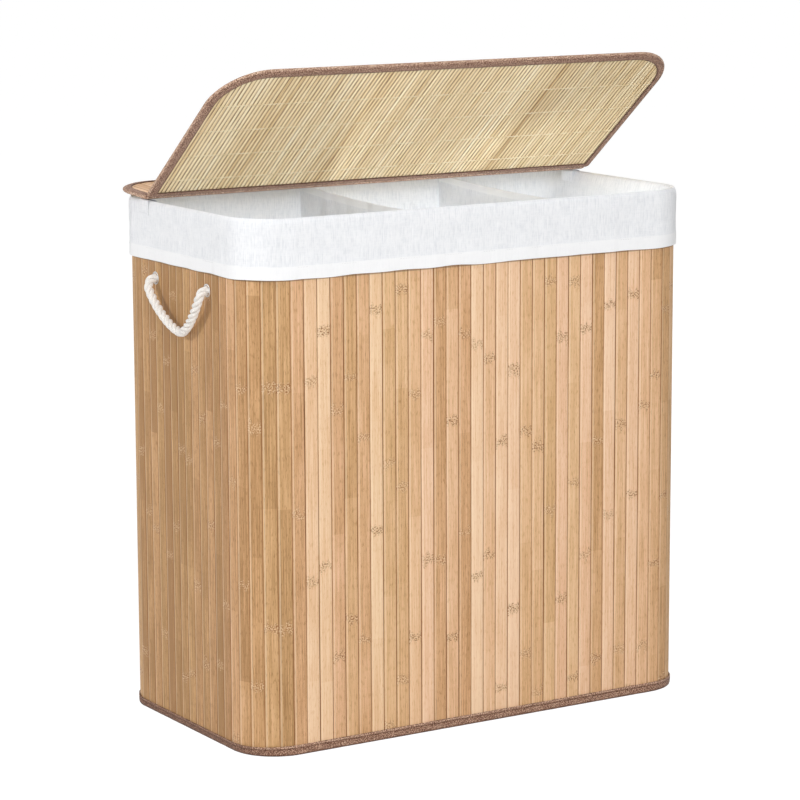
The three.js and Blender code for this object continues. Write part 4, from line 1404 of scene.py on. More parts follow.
def cuff_section():
    """Along the cloth, from the seam inside, over the rim, to the hem's lower edge."""
    out, rim = CUFF_OFFSET, RIM_HEIGHT - CUFF_THICKNESS / 2
    soft = CUFF_FOLD
    return smooth_line([
        (LINER_OFFSET, CUFF_SEAM), (LINER_OFFSET, (CUFF_SEAM + rim) / 2),
        (LINER_OFFSET + soft / 3, rim - 8 * soft),
        (LINER_OFFSET + 2 * soft, rim - 2 * soft), (LINER_OFFSET + 3 * soft, rim - soft / 4),
        (-soft / 2, rim), (out - 0.8 * soft, rim - soft / 8), (out - soft / 5, rim - soft),
        (out + soft / 8, rim - 4 * soft), (out, (rim + CUFF_BOTTOM) / 2),
        (out + soft / 8, CUFF_BOTTOM + HEM_HEIGHT), (out + soft / 6, CUFF_BOTTOM),
    ], CUFF_COLUMNS)


def cuff_relief(outside):
    """Long waves that grow downward plus short puckers, on the outer side alone."""
    def relief(share, height):
        """Nothing inside, and outside the swell of the waves plus the puckers."""
        low = 1 - ease(height, CUFF_BOTTOM, RIM_HEIGHT)
        wave = ripples(share, height / RIM_HEIGHT, range(7, 60, 5), 1.5)
        pucker = ripples(share, height / RIM_HEIGHT, range(90, 260, 17), 3)
        swell = CUFF_BILLOW * (0.35 + low) * np.tanh(wave) * 0.6
        return np.where(outside, swell + 0.16 * CUFF_BILLOW * pucker, 0)
    return relief


def add_cuff():
    """The section carried round the body, with its two outer edges raised and lowered by slow waves."""
    section = cuff_section()
    outside = ease(section[:, 0], 0, CUFF_OFFSET)[None, :] > 0.5
    middle = body_ring(section, LINER_STEP / 2, cuff_relief(outside))
    share = np.arange(len(middle)) / len(middle)
    lift = CUFF_LIFT * ripples(share, 0, range(3, 24, 2), 0)
    crown = ease(middle[..., 2], RIM_HEIGHT - 4 * HEM_HEIGHT / 3, RIM_HEIGHT)
    foot = 1 - ease(middle[..., 2], CUFF_BOTTOM, CUFF_BOTTOM + HEM_HEIGHT)
    drop = CUFF_DROP * ripples(share, 0, range(4, 30, 3), 0)
    middle[..., 2] -= np.abs(lift)[:, None] * crown * np.where(outside, 1, 0)
    middle[..., 2] += drop[:, None] * foot * np.where(outside, 1, 0)
    fold = CUFF_BOTTOM + HEM_HEIGHT
    in_hem = outside[0] * (1 - ease(section[:, 1], fold - HEM_THICKNESS, fold + HEM_THICKNESS))
    thickness = CUFF_THICKNESS + (HEM_THICKNESS - CUFF_THICKNESS) * in_hem
    hem = np.broadcast_to(in_hem, middle.shape[:2])
    piece = cloth("liner_cuff_cloth", middle, thickness, liner_cloth, True, {"hem": hem})
    settle(piece, "hamper", "liner", "liner_cuff", "liner_hem")
    declare_sheet(middle)
    add_ring_stitches("liner_hem_stitches", CUFF_OFFSET + HEM_THICKNESS / 2,
                      fold - STITCH_BELOW_EDGE / 2, white_thread)


add_cuff()

# %% [markdown]
# ## The dividers
#
# Two cloths are sewn across the bag and make three compartments. In the
# photograph they stand to the right of their even places and a little askew,
# because the liner has slipped round the rim. A flat plane would look like
# board, so each is a grid from wall to wall, with a doubled top edge that sags,
# and it billows and creases most where nothing holds it.

# %% The dividers
COMPARTMENTS = 3
DIVIDER_THICKNESS = 0.8 * MM
DIVIDER_TOP = 627 * MM
DIVIDER_LOW = 6.7 * MM
DIVIDER_SAG = 3 * MM
DIVIDER_SHIFT = 29 * MM
DIVIDER_SKEW = 20 * MM
DIVIDER_BILLOW = 4 * MM
DIVIDER_COLUMNS = 46
# How far down the cloth its points lie, closer together in the hem.
DIVIDER_HEM_SHARES = (0, 0.006, 0.012, 0.0145, 0.017, 0.022)
DIVIDER_HEM_END_SHARE = 0.0145
DIVIDER_DOWN_SHARES = np.concatenate([DIVIDER_HEM_SHARES, np.linspace(0.05, 1, 26)])
DIVIDER_RIM_REACH = 2 * MM


def side_name(side):
    """Left for -1 and right for 1."""
    return "left" if side < 0 else "right"


def add_divider(side):
    """A sheet across the bag: x is its place, plus skew, billow and creases that vanish at the walls."""
    reach = BODY_DEPTH / 2 + LINER_OFFSET
    centre = side * BODY_WIDTH / COMPARTMENTS / 2 + DIVIDER_SHIFT
    share = np.linspace(-1, 1, DIVIDER_COLUMNS)[:, None]
    top = DIVIDER_TOP - DIVIDER_SAG * (1 - share * share)
    down = DIVIDER_DOWN_SHARES[None, :]
    height = top - (top - DIVIDER_LOW) * down
    loose = (1 - share ** 2) * np.sin(math.pi * np.clip(1 - down * 0.8, 0, 1))
    fold = ripples(share / 2, height / RIM_HEIGHT, (1, 2, 3, 5), 0.9)
    crease = ripples(share / 2, down * 4, (4, 7, 9), 1.0) * (1 - share ** 2)
    x = centre + DIVIDER_SKEW * share + DIVIDER_BILLOW * (0.6 * loose * fold + 0.16 * crease)
    rim = ease(height, RIM_HEIGHT - HEM_HEIGHT, RIM_HEIGHT)
    y = (reach + DIVIDER_RIM_REACH * rim) * share
    middle = np.stack([x, y, height], -1)
    hem = np.broadcast_to((down < DIVIDER_HEM_END_SHARE).astype(float), middle.shape[:2])
    thickness = np.where(hem > 0, 2 * DIVIDER_THICKNESS, DIVIDER_THICKNESS)
    name = side_name(side)
    piece = cloth(f"liner_divider_{name}_cloth", middle, thickness, liner_cloth, False, {"hem": hem})
    settle(piece, "hamper", "liner", f"liner_divider_{name}")
    declare_sheet(middle)


add_divider(-1)
add_divider(1)

# %% [markdown]
# ## Cotton rope
#
# The handles are soft twisted cotton, off-white with warm shadows between the
# yarns. The three strands are real geometry, made further down. Single yarns
# would be thousands of tubes more, so the material adds them, wound the other
# way round each strand as a sine of u and v, and a fluff of fibres as noise.

# %% Cotton rope
ROPE_TONES = ((0.25, (0.70, 0.645, 0.595)), (0.5, (0.92, 0.885, 0.84)), (0.8, (0.97, 0.955, 0.925)))
YARN_ACROSS = 3400
YARN_ALONG = 1500
FLUFF_SCALE = (1200, 700)
ROPE_BUMP = 0.3 * MM


def rope_material():
    """Twisted cotton: yarns that slant across each strand, and fluff."""
    made, tree, shader = new_material("rope_cotton", 0.86, Sheen_Weight=0.3, Sheen_Roughness=0.5)
    place = own_uv(tree)
    split = add_node(tree, "ShaderNodeSeparateXYZ", {"Vector": place})
    turn = weighed(tree, (split.outputs["X"], YARN_ACROSS), (split.outputs["Y"], YARN_ALONG))
    yarn = calc(tree, "SINE", turn)
    fluff = noise(tree, place, FLUFF_SCALE, 3)
    value = calc(tree, "ADD", times(tree, yarn, 0.1), fluff)
    height = calc(tree, "ADD", times(tree, yarn, 0.6), fluff)
    dress(tree, shader, ramp(tree, value, ROPE_TONES), height, ROPE_BUMP, 0.8)
    return made


rope_cotton = shown(rope_material())

# %% [markdown]
# ## The rope's path and a tube along it
#
# The rope comes out of one eyelet, hangs in a V and goes back in. Its centreline
# is a rounded line through a few points. A tube along it could be a curve with a
# bevel, but that can't be twisted into strands, so `tube` carries a circle along
# the line itself. The circle's two directions are passed on from step to step,
# which keeps it from spinning.

# %% The rope's path and a tube along it
HANDLE_HEIGHT = 539 * MM
HANDLE_SPACING = 128 * MM
HANDLE_DROP = 55 * MM
HANDLE_LEAN = 12 * MM
ROPE_DIAMETER = 11 * MM
ROPE_LAY = 27 * MM
ROPE_AXIS = 9.1 * MM
ROPE_LOW_OFFSET = 8 * MM
ROPE_BULGE = 2.5 * MM
# Down one leg: the share across, the share down, and the share of the bulge.
ROPE_SHARES = ((0.98, 0.18, 0.8), (0.74, 0.52, 1), (0.32, 0.88, 0.5), (0, 1, 0))
ROPE_STEPS = 300
ROPE_INSIDE = 5 * MM
ROPE_ELBOW_SHARES = ((0.62, 0.02), (1.0, 0.08))


def rope_line(side):
    """The rope's centreline from inside one eyelet, down, and into the other."""
    half = [(-ROPE_INSIDE, 1, 0), (0, 1, 0)]
    half += [(share * ROPE_AXIS, 1, down) for share, down in ROPE_ELBOW_SHARES]
    for across, down, bulge in ROPE_SHARES:
        offset = ROPE_AXIS + (ROPE_LOW_OFFSET - ROPE_AXIS) * down + bulge * ROPE_BULGE
        half.append((offset, across, down))
    whole = half + [(offset, -across, down) for offset, across, down in half[-2::-1]]
    return smooth_line([
        (side * (BODY_WIDTH / 2 + offset),
         across * HANDLE_SPACING / 2 - (1 - abs(across)) * HANDLE_LEAN,
         HANDLE_HEIGHT - down * HANDLE_DROP)
        for offset, across, down in whole
    ], ROPE_STEPS)


def carried_frames(line):
    """A pair of directions square to the line that don't twist about it."""
    ahead = np.gradient(line, axis=0)
    ahead /= np.linalg.norm(ahead, axis=1, keepdims=True)
    first = np.cross(ahead[0], [0, 0, 1.0])
    frames = [first / np.linalg.norm(first)]
    for direction in ahead[1:]:
        side = frames[-1] - direction * (frames[-1] @ direction)
        frames.append(side / np.linalg.norm(side))
    side = np.array(frames)
    return ahead, side, np.cross(ahead, side)


def tube(line, radius, sides, flatten=None):
    """Points, faces and UVs of a closed tube: at each step a circle in the carried frame."""
    ahead, side, other = carried_frames(line)
    angle = np.arange(sides) * 2 * math.pi / sides
    swing = side[:, None] * np.cos(angle)[None, :, None] + other[:, None] * np.sin(angle)[None, :, None]
    points = line[:, None] + swing * radius
    if flatten is not None:
        points = flatten(points)
    faces, ends = bar_faces(1, len(line), sides)
    i, j = np.meshgrid(np.arange(len(line) - 1), np.arange(sides), indexing="ij")
    far = steps_along(line)
    turn = angle[1] * radius
    uv = corner_uv(j * turn, (j + 1) * turn, far[i], far[i + 1])
    uv = np.concatenate([uv.reshape(-1, 2), np.zeros((ends.size, 2))])
    return points.reshape(-1, 3), faces.tolist() + ends.tolist(), uv


def join_parts(parts):
    """Several lots of points, faces and UVs as one."""
    points, faces, uv, start = [], [], [], 0
    for some, their, place in parts:
        points.append(some)
        faces += [[index + start for index in face] for face in their]
        uv.append(place)
        start += len(some)
    return np.concatenate(points), faces, np.concatenate(uv)


# %% [markdown]
# ## The knots inside the wall
#
# Each end of the rope is knotted behind its eyelet. Nobody sees the knot, and it
# could be a plain disk, but it is what holds the handle. It is a trefoil, the
# simplest knot, pressed flat between the wall and the liner.

# %% The knots inside the wall
ROPE_KNOT_OFFSET = -6 * MM
ROPE_KNOT_WIDTH = 19 * MM
ROPE_KNOT_DEPTH = 2 * MM
KNOT_STEPS = 90
KNOT_SIDES = 10
KNOT_TUBE_SHARE = 1.3
KNOT_FLATNESS = 0.15
KNOT_FULL_SHARE = 4.3


def handle_names(side, end):
    """The name of one eyelet's place: front or rear, then left or right."""
    return f"{'rear' if end > 0 else 'front'}_{side_name(side)}"


def add_knot(side, end):
    """A trefoil: two turns about the middle while the radius makes three waves."""
    turn = np.linspace(0, 2 * math.pi, KNOT_STEPS)
    wide = ROPE_KNOT_WIDTH / 8
    line = np.stack([
        KNOT_FLATNESS * wide * np.sin(3 * turn),
        wide * (2 + np.cos(3 * turn)) * np.cos(2 * turn),
        wide * (2 + np.cos(3 * turn)) * np.sin(2 * turn),
    ], -1)
    middle = np.array([
        side * (BODY_WIDTH / 2 + ROPE_KNOT_OFFSET), end * HANDLE_SPACING / 2, HANDLE_HEIGHT])

    def press(points):
        """Squeezes the knot's depth and moves it to its place."""
        return points * np.array([ROPE_KNOT_DEPTH / (KNOT_FULL_SHARE * wide), 1, 1]) + middle

    points, faces, uv = tube(line, wide * KNOT_TUBE_SHARE, KNOT_SIDES, press)
    piece = make_piece(f"rope_knot_{handle_names(side, end)}", points, faces, uv, rope_cotton,
                       sharp_degrees=ROUND_SHARP_DEGREES)
    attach(piece, "hamper")
    return piece


# %% [markdown]
# ## The rope handles
#
# A twisted rope is three strands that wind round its centreline. A Screw modifier
# can't follow a bent line. So each strand's line is the centreline plus a
# turning step across it, one full turn for each 27 mm of lay.

# %% The rope handles
EYELET_FRONT = 1.35 * MM
STRANDS = 3
STRAND_SIDES = 14
STRAND_SHARE = 0.228
STRAND_TURN_SHARE = 0.271


def add_rope(side):
    """Three helices about the centreline, a third of a turn apart."""
    name = side_name(side)
    line = rope_line(side)
    ahead, beside, other = carried_frames(line)
    far = steps_along(line)
    parts = []
    for strand in range(STRANDS):
        turn = 2 * math.pi * (far / ROPE_LAY + strand / STRANDS)
        ring = beside * np.cos(turn)[:, None] + other * np.sin(turn)[:, None]
        helix = line + ring * ROPE_DIAMETER * STRAND_TURN_SHARE
        parts.append(tube(helix, ROPE_DIAMETER * STRAND_SHARE, STRAND_SIDES))
    points, faces, uv = join_parts(parts)
    piece = make_piece(f"handle_{name}_rope", points, faces, uv, rope_cotton,
                       sharp_degrees=ROUND_SHARP_DEGREES)
    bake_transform(piece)
    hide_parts(f"handle_rope_{name}", f"rope_end_front_{name}", f"rope_end_rear_{name}")
    knots = [add_knot(side, end) for end in (-1, 1)]
    print(f"handle_{name}_rope", round(float(far[-1]), 3), "m long")


# %% [markdown]
# ## The eyelets
#
# Each hole is bushed with a plated metal ring: a rolled lip outside, a barrel
# through the wall and a flat lip inside. A torus would give only the outer lip,
# so the whole profile is turned round the hole's axis, as on a lathe. The
# plating is dull and finely scratched, so it is rough and only half metallic.

# %% The eyelets
METAL_TONES = ((0.3, (0.55, 0.54, 0.53)), (0.7, (0.78, 0.77, 0.75)))
SCRATCH_SCALE = (900, 300)
METAL_BUMP = 0.05 * MM
EYELET_BORE = 6 * MM
EYELET_RADIUS = 7.9 * MM
EYELET_BACK = -4.4 * MM
EYELET_LIP = 1.1 * MM
EYELET_STEPS = 40
EYELET_COLUMNS = 48
EYELET_SHARP_DEGREES = 60


def metal_material(name):
    """Dull plated metal with fine scratches."""
    made, tree, shader = new_material(name, 0.42, Metallic=0.55)
    scratch = noise(tree, own_place(tree), SCRATCH_SCALE, 4)
    dress(tree, shader, ramp(tree, scratch, METAL_TONES), scratch, METAL_BUMP, 0.5)
    return made


def add_eyelet(side, end):
    """A closed profile of (radius, offset) turned round the hole's axis."""
    lip = EYELET_LIP
    profile = smooth_line([
        (EYELET_BORE, EYELET_BACK + lip / 4), (EYELET_RADIUS - lip / 2, EYELET_BACK),
        (EYELET_RADIUS, EYELET_BACK + lip / 2), (EYELET_RADIUS - lip, EYELET_BACK + 0.9 * lip),
        (EYELET_BORE + lip / 2, EYELET_BACK + lip), (EYELET_BORE + 0.6 * lip, 0),
        (EYELET_RADIUS - lip / 2, EYELET_FRONT - lip), (EYELET_RADIUS, EYELET_FRONT - 0.6 * lip),
        (EYELET_RADIUS - 0.7 * lip, EYELET_FRONT), (EYELET_BORE + 0.7 * lip, EYELET_FRONT - lip / 5),
        (EYELET_BORE, EYELET_FRONT - lip), (EYELET_BORE, EYELET_BACK + lip / 4),
    ], EYELET_COLUMNS)[:-1]
    angle = np.arange(EYELET_STEPS) * 2 * math.pi / EYELET_STEPS
    radius, offset = profile[:, 0][None, :], profile[:, 1][None, :]
    points = np.stack(np.broadcast_arrays(
        side * (BODY_WIDTH / 2 + offset),
        end * HANDLE_SPACING / 2 + side * radius * np.cos(angle)[:, None],
        HANDLE_HEIGHT + radius * np.sin(angle)[:, None],
    ), -1)
    rows, columns = points.shape[:2]
    _, _, quads = closed_quads(rows, columns)
    faces = quads.reshape(-1, 4)
    uv = np.stack([faces.ravel() // columns, faces.ravel() % columns], -1) * MM
    where = handle_names(side, end)
    piece = make_piece(f"eyelet_ring_{where}", points, faces.tolist(), uv, plated_metal,
                       sharp_degrees=EYELET_SHARP_DEGREES)
    settle(piece, "hamper", "metal", f"eyelet_{where}")


plated_metal = shown(metal_material("plated_metal"))
for side in (-1, 1):
    add_rope(side)
    for end in (-1, 1):
        add_eyelet(side, end)

# %% [markdown]
# ## The lid's two parts
#
# The lid is a fixed strip along the rear and a flap that swings on it. Each is a
# sandwich: slats on top, a board, and a mat of fine sticks below, bound with
# tape. It would be hard to lay them out at the flap's open angle. So both are
# laid out flat and shut, and the flap's points are then turned up about the
# hinge. The rear strip's outer edge stands a little off the rim.

# %% The lid's two parts
LID_HALF_WIDTH = 320 * MM
LID_REAR_EDGE = 176 * MM
LID_FRONT_EDGE = -185 * MM
LID_OUTER_RADIUS = 64 * MM
LID_HINGE_RADIUS = 5 * MM
LID_LEAST_RADIUS = 0.4 * MM
LID_REAR_LIFT = 5.5 * MM
LID_ARC_STEPS = 14
LID_STRAIGHT_STEP = 9 * MM
HINGE_Y = 71 * MM
HINGE_Z = 638.55 * MM
HINGE_GAP = 1.2 * MM
LID_OPEN_DEGREES = 38.5
LID_OPEN = math.radians(LID_OPEN_DEGREES)


def open_flap(points):
    """Points laid out with the lid shut, turned up about the hinge by the open angle."""
    points = np.array(points, float)
    y = points[..., 1] - HINGE_Y
    z = points[..., 2] - HINGE_Z
    points[..., 1] = HINGE_Y + y * math.cos(LID_OPEN) + z * math.sin(LID_OPEN)
    points[..., 2] = HINGE_Z - y * math.sin(LID_OPEN) + z * math.cos(LID_OPEN)
    return points


def lift_rear(points):
    """Points raised in proportion to how far behind the hinge they lie."""
    points = np.array(points, float)
    share = np.clip((points[..., 1] - HINGE_Y) / (LID_REAR_EDGE - HINGE_Y), 0, 1)
    points[..., 2] += LID_REAR_LIFT * share
    return points


class Panel:
    """One part of the lid: its edges and corner radii, in plan, with the lid shut."""

    def __init__(self, name, body, front, rear, front_radius, rear_radius, place):
        self.name, self.body, self.place = name, body, place
        self.front, self.rear = front, rear
        self.front_radius, self.rear_radius = front_radius, rear_radius

    def corners(self, inset):
        """Centre x, centre y, radius and first angle of each rounded corner."""
        found = []
        for x_sign, y_edge, radius, turn in (
            (-1, self.front, self.front_radius, 2), (1, self.front, self.front_radius, 3),
            (1, self.rear, self.rear_radius, 0), (-1, self.rear, self.rear_radius, 1),
        ):
            left = max(radius - inset, LID_LEAST_RADIUS)
            y_sign = 1 if y_edge == self.front else -1
            found.append((
                x_sign * (LID_HALF_WIDTH - inset - left), y_edge + y_sign * (inset + left),
                left, turn * math.pi / 2))
        return found

    def outline(self, inset):
        """Points round the panel, as many for every inset."""
        corners = self.corners(inset)
        nominal = self.corners(0)
        points = []
        for index, (x, y, radius, start) in enumerate(corners):
            angle = start + np.linspace(0, math.pi / 2, LID_ARC_STEPS)
            arc = np.stack([x + radius * np.cos(angle), y + radius * np.sin(angle)], -1)
            points.append(arc)
            x, y, radius, start = corners[(index + 1) % 4]
            target = np.array([x + radius * math.cos(start), y + radius * math.sin(start)])
            here, there = nominal[index], nominal[(index + 1) % 4]
            apart = math.hypot(there[0] - here[0], there[1] - here[1])
            steps = max(int(apart / LID_STRAIGHT_STEP), 2)
            share = (np.arange(1, steps) / steps)[:, None]
            points.append(arc[-1] * (1 - share) + target * share)
        return np.concatenate(points)

    def ends(self, x, inset):
        """Where the panel begins and ends, front to rear, at each x."""
        x = np.abs(x)
        front = np.full(x.shape, self.front + inset)
        rear = np.full(x.shape, self.rear - inset)
        for edge, radius, sign in ((front, self.front_radius, 1), (rear, self.rear_radius, -1)):
            left = max(radius - inset, LID_LEAST_RADIUS)
            past = np.clip(x - (LID_HALF_WIDTH - inset - left), 0, left)
            edge += sign * (left - np.sqrt(left * left - past * past))
        return front, rear


rear_strip = Panel("lid_rear", "hamper", HINGE_Y + HINGE_GAP / 2, LID_REAR_EDGE,
                   LID_HINGE_RADIUS, LID_OUTER_RADIUS, lift_rear)
flap = Panel("lid_flap", "lid_flap", LID_FRONT_EDGE, HINGE_Y - HINGE_GAP / 2,
             LID_OUTER_RADIUS, LID_HINGE_RADIUS, open_flap)
print("flap open by", LID_OPEN_DEGREES, "degrees")

# %% [markdown]
# ## The lid's slats
#
# On top of the lid the same bamboo strips run from front to rear. A boolean could
# trim them where the lid's corners are round. It is simpler to work out where
# the outline begins and ends, at each point of a strip's section, and to let
# `bars` start and stop there.

# %% The lid's slats
LID_LAYER_INSET = 5.5 * MM
LID_SLAT_FACE = 636.9 * MM
LID_SLAT_COUNT = 36
LID_SLAT_LEVELS = 4
LID_TONE_SHIFT = -0.12


def run_across(panel, count, section, face, outward, material, tones, knots, levels, wobble, name):
    """Strips that run from the panel's front to its rear, trimmed to its outline."""
    inset = LID_LAYER_INSET
    pitch = 2 * (LID_HALF_WIDTH - inset) / count
    left = -LID_HALF_WIDTH + inset + np.arange(count) * pitch
    side = 1 if outward > 0 else -1
    base = np.stack(np.broadcast_arrays(left if side > 0 else left + pitch, 0.0, face), -1)
    across = np.tile([side, 0.0, 0.0], (count, 1))
    up = np.tile([0.0, 0.0, outward], (count, 1))
    x = base[:, :1] + side * section[None, :, 0]
    low, high = panel.ends(np.clip(x, -LID_HALF_WIDTH + inset, LID_HALF_WIDTH - inset), inset)
    return bars(name, base, across, up, np.array([0, 1.0, 0]), section, low, high, material,
                tones, knots, levels, wobble, panel.place)


def add_lid_slats(panel):
    """Strips on the panel's upper face, without wobble, because glue holds them to the board."""
    pitch = 2 * (LID_HALF_WIDTH - LID_LAYER_INSET) / LID_SLAT_COUNT
    section = np.array(slat_section(pitch))
    piece = run_across(
        panel, LID_SLAT_COUNT, section, LID_SLAT_FACE, 1, slat_bamboo,
        slat_tones(LID_SLAT_COUNT, TONE_MIDDLE + LID_TONE_SHIFT), slat_knots(LID_SLAT_COUNT),
        LID_SLAT_LEVELS, np.zeros((LID_SLAT_COUNT, LID_SLAT_LEVELS, 2)), f"{panel.name}_slat_strips")
    settle(piece, panel.body, "slats", f"{panel.name}_slats")


# %% [markdown]
# ## The board inside the lid
#
# Between slats and mat lies a thin grey-brown board, which hardly shows. A plain
# box would stick out at the round corners, so it is one sheet whose ends follow
# the lid's outline at every x.

# %% The board inside the lid
LID_CORE_HEIGHT = 634.5 * MM
LID_CORE_THICKNESS = 1 * MM
BOARD_TONES = ((0.25, (0.30, 0.21, 0.13)), (0.75, (0.42, 0.31, 0.21)))
BOARD_FLECK_SCALE = (420, 380)
BOARD_ROWS = 80
BOARD_COLUMNS = 12
BOARD_BUMP = 0.2 * MM


def board_material():
    """Grey-brown board: one fine noise for its flecks and its bump."""
    made, tree, shader = new_material("grey_board", 0.85)
    flecks = noise(tree, own_place(tree), BOARD_FLECK_SCALE, 4)
    dress(tree, shader, ramp(tree, flecks, BOARD_TONES), flecks, BOARD_BUMP, 0.4)
    return made


def add_core(panel):
    """A grid that slides from the panel's front to its rear at each x."""
    width = LID_HALF_WIDTH - LID_LAYER_INSET
    x = np.linspace(-width, width, BOARD_ROWS)
    front, rear = panel.ends(x, LID_LAYER_INSET)
    share = np.linspace(0, 1, BOARD_COLUMNS)[None, :]
    y = front[:, None] * (1 - share) + rear[:, None] * share
    middle = np.stack(np.broadcast_arrays(x[:, None], y, LID_CORE_HEIGHT), -1)
    piece = cloth(f"{panel.name}_board", panel.place(middle), LID_CORE_THICKNESS, grey_board)
    settle(piece, panel.body, "board", f"{panel.name}_core")


grey_board = shown(board_material())

# %% [markdown]
# ## The mat of sticks
#
# The lid's underside is a mat of over a hundred fine sticks, split from the pale
# inside of the bamboo. A striped texture would be flat. Real sticks catch the
# light along one side and leave a dark gap, so each is a bar, round below and
# flat above, and by its `edge` attribute a painted shade darkens its sides.

# %% The mat of sticks
MAT_FACE = 632.5 * MM
MAT_THICKNESS = 1.2 * MM
MAT_STICKS = 118
MAT_WOBBLE = 0.25 * MM
MAT_TONES = (
    (0.0, (0.50, 0.32, 0.145)),
    (0.35, (0.75, 0.56, 0.312)),
    (0.7, (0.88, 0.725, 0.47)),
    (1.0, (0.95, 0.85, 0.64)),
)
MAT_GAP_SHADE_COLOUR = (0.20, 0.098, 0.03)
ROUND_SHARES = (0.0, 0.26, 0.5, 0.71, 0.87, 0.97)
MAT_LEVELS = 7
MAT_TONE_MIDDLE = 0.56
MAT_TONE_SPREAD = 0.09
MAT_TONE_WAVE = 0.12
MAT_TONE_FLOOR = 0.05
STICK_GAP_SHARE = 0.03
STICK_ROUND_SHARE = 0.92
STICK_FIBRE_SCALE = (1800, 30)
STICK_STREAK_SCALE = (500, 9)
GAP_SHADE_PATCH_SCALE = (330, 26)
MAT_BUMP = 0.2 * MM


def mat_material():
    """Fine round sticks: pale with dark streaks, and a painted shade, uneven in patches, where two of them
    meet.
    """
    made, tree, shader = new_material("mat_sticks", 0.7, Specular_IOR_Level=0.2)
    place = own_uv(tree)
    fibre = noise(tree, place, STICK_FIBRE_SCALE, 2)
    streak = noise(tree, place, STICK_STREAK_SCALE, 3)
    value = sway(tree, sway(tree, read(tree, "tone"), streak, 0.75), fibre, 0.45)
    # Painted shade on the sticks' sides, deeper in slow patches, darkens the gaps.
    low = limit(tree, calc(tree, "ABSOLUTE", read(tree, "edge")), 0.62, 0.93)
    gap_shade_patches = limit(tree, noise(tree, place, GAP_SHADE_PATCH_SCALE, 2), 0.4, 0.68, 0.62, 1.0)
    colour = blend_colours(tree, times(tree, low, gap_shade_patches), ramp(tree, value, MAT_TONES), MAT_GAP_SHADE_COLOUR)
    dress(tree, shader, colour, fibre, MAT_BUMP, 0.5)
    return made


def stick_section(pitch):
    """A stick's outline: flat above, and half an ellipse below."""
    edge = pitch * STICK_GAP_SHARE
    arc = [(-share, math.sqrt(1 - share * share)) for share in ROUND_SHARES]
    arc = [(-x, y) for x, y in arc[::-1]] + arc[1:]
    half = pitch / 2 - edge
    points = [(edge, -MAT_THICKNESS), (pitch - edge, -MAT_THICKNESS)]
    points += [(pitch / 2 + x * half, -MAT_THICKNESS * (1 - STICK_ROUND_SHARE * y)) for x, y in arc]
    return np.array(points)


def add_mat(panel):
    """Sticks whose tones are a bell curve plus slow waves across the mat, each a little crooked."""
    pitch = 2 * (LID_HALF_WIDTH - LID_LAYER_INSET) / MAT_STICKS
    chance = MAT_TONE_SPREAD * rng.normal(size=MAT_STICKS)
    wave = MAT_TONE_WAVE * ripples(np.arange(MAT_STICKS) / MAT_STICKS, 0, range(2, 11), 0)
    tones = np.clip(MAT_TONE_MIDDLE + chance + wave, MAT_TONE_FLOOR, TONE_CEILING)
    wobble = MAT_WOBBLE * rng.normal(size=(MAT_STICKS, MAT_LEVELS, 2)) * np.array([0.5, 0.15])
    piece = run_across(
        panel, MAT_STICKS, stick_section(pitch), MAT_FACE, -1, mat_sticks, tones, None, MAT_LEVELS,
        wobble, f"{panel.name}_mat_sticks")
    settle(piece, panel.body, "mat", f"{panel.name}_mat")
    add_mat_threads(panel, pitch)


mat_sticks = shown(mat_material())

# %% [markdown]
# ## The mat's threads
#
# Rows of pale thread tie the sticks together, over each stick and down between
# it and the next. A painted line would lie flat. So a thin tube follows a line
# whose height is a raised cosine, squared to make it dip sharply.

# %% The mat's threads
MAT_ROWS = 4
MAT_ROW_FIRST = 36 * MM
MAT_ROW_PITCH = 51 * MM
THREAD_WIDTH = 0.95 * MM
THREAD_RISE = 0.2 * MM
THREAD_DIP = 0.35 * MM
LID_TAPE_WIDTH = 11 * MM
MAT_THREAD_COLOURS = ((0.90, 0.79, 0.56), (0.72, 0.57, 0.34))
THREAD_SIDES = 6
THREAD_STEPS_PER_STICK = 5
THREAD_SWAY_SHARE = 0.1
REACH_TRIES = 200


def thread_rows(panel):
    """Where the rows lie, counted from the hinge: as many as each part has room for."""
    if panel.body == "hamper":
        return [HINGE_Y + MAT_ROW_FIRST, HINGE_Y + MAT_ROW_FIRST + MAT_ROW_PITCH]
    return [HINGE_Y - MAT_ROW_FIRST - k * MAT_ROW_PITCH for k in range(MAT_ROWS)]


def add_mat_threads(panel, pitch):
    """Tubes over every stick, each row as long as the outline inside the tape lets it."""
    parts = []
    inset = LID_TAPE_WIDTH
    for y in thread_rows(panel):
        tried = np.linspace(0, LID_HALF_WIDTH - inset, REACH_TRIES)
        front, rear = panel.ends(tried, inset)
        reach = tried[(front < y) & (rear > y)].max()
        x = np.arange(-reach, reach, pitch / THREAD_STEPS_PER_STICK)
        phase = 2 * math.pi * (x + LID_HALF_WIDTH - LID_LAYER_INSET) / pitch
        drop = THREAD_DIP * (0.5 + 0.5 * np.cos(phase)) ** 2
        wander = THREAD_SWAY_SHARE * pitch * np.sin(phase)
        line = np.stack([x, y + wander, MAT_FACE - THREAD_RISE + drop], -1)
        parts.append(tube(line, THREAD_WIDTH / 2, THREAD_SIDES))
    points, faces, uv = join_parts(parts)
    piece = make_piece(f"{panel.name}_mat_threads", panel.place(points), faces, uv, mat_thread,
                       sharp_degrees=ROUND_SHARP_DEGREES)
    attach(piece, panel.body)


mat_thread = shown(thread_material("mat_thread", *MAT_THREAD_COLOURS))

# %% [markdown]
# ## The tape round the lid
#
# A tape is folded round each part's edge and sewn through, with a row of stitches
# on both faces. Scaling one outline inward would squash its corners. So the fold
# is a rounded line of (inset, height), and the lid's outline is worked out anew
# for every inset. A painted highlight makes the fold's outer edge pale, and a
# painted shade makes its inner edge dark.

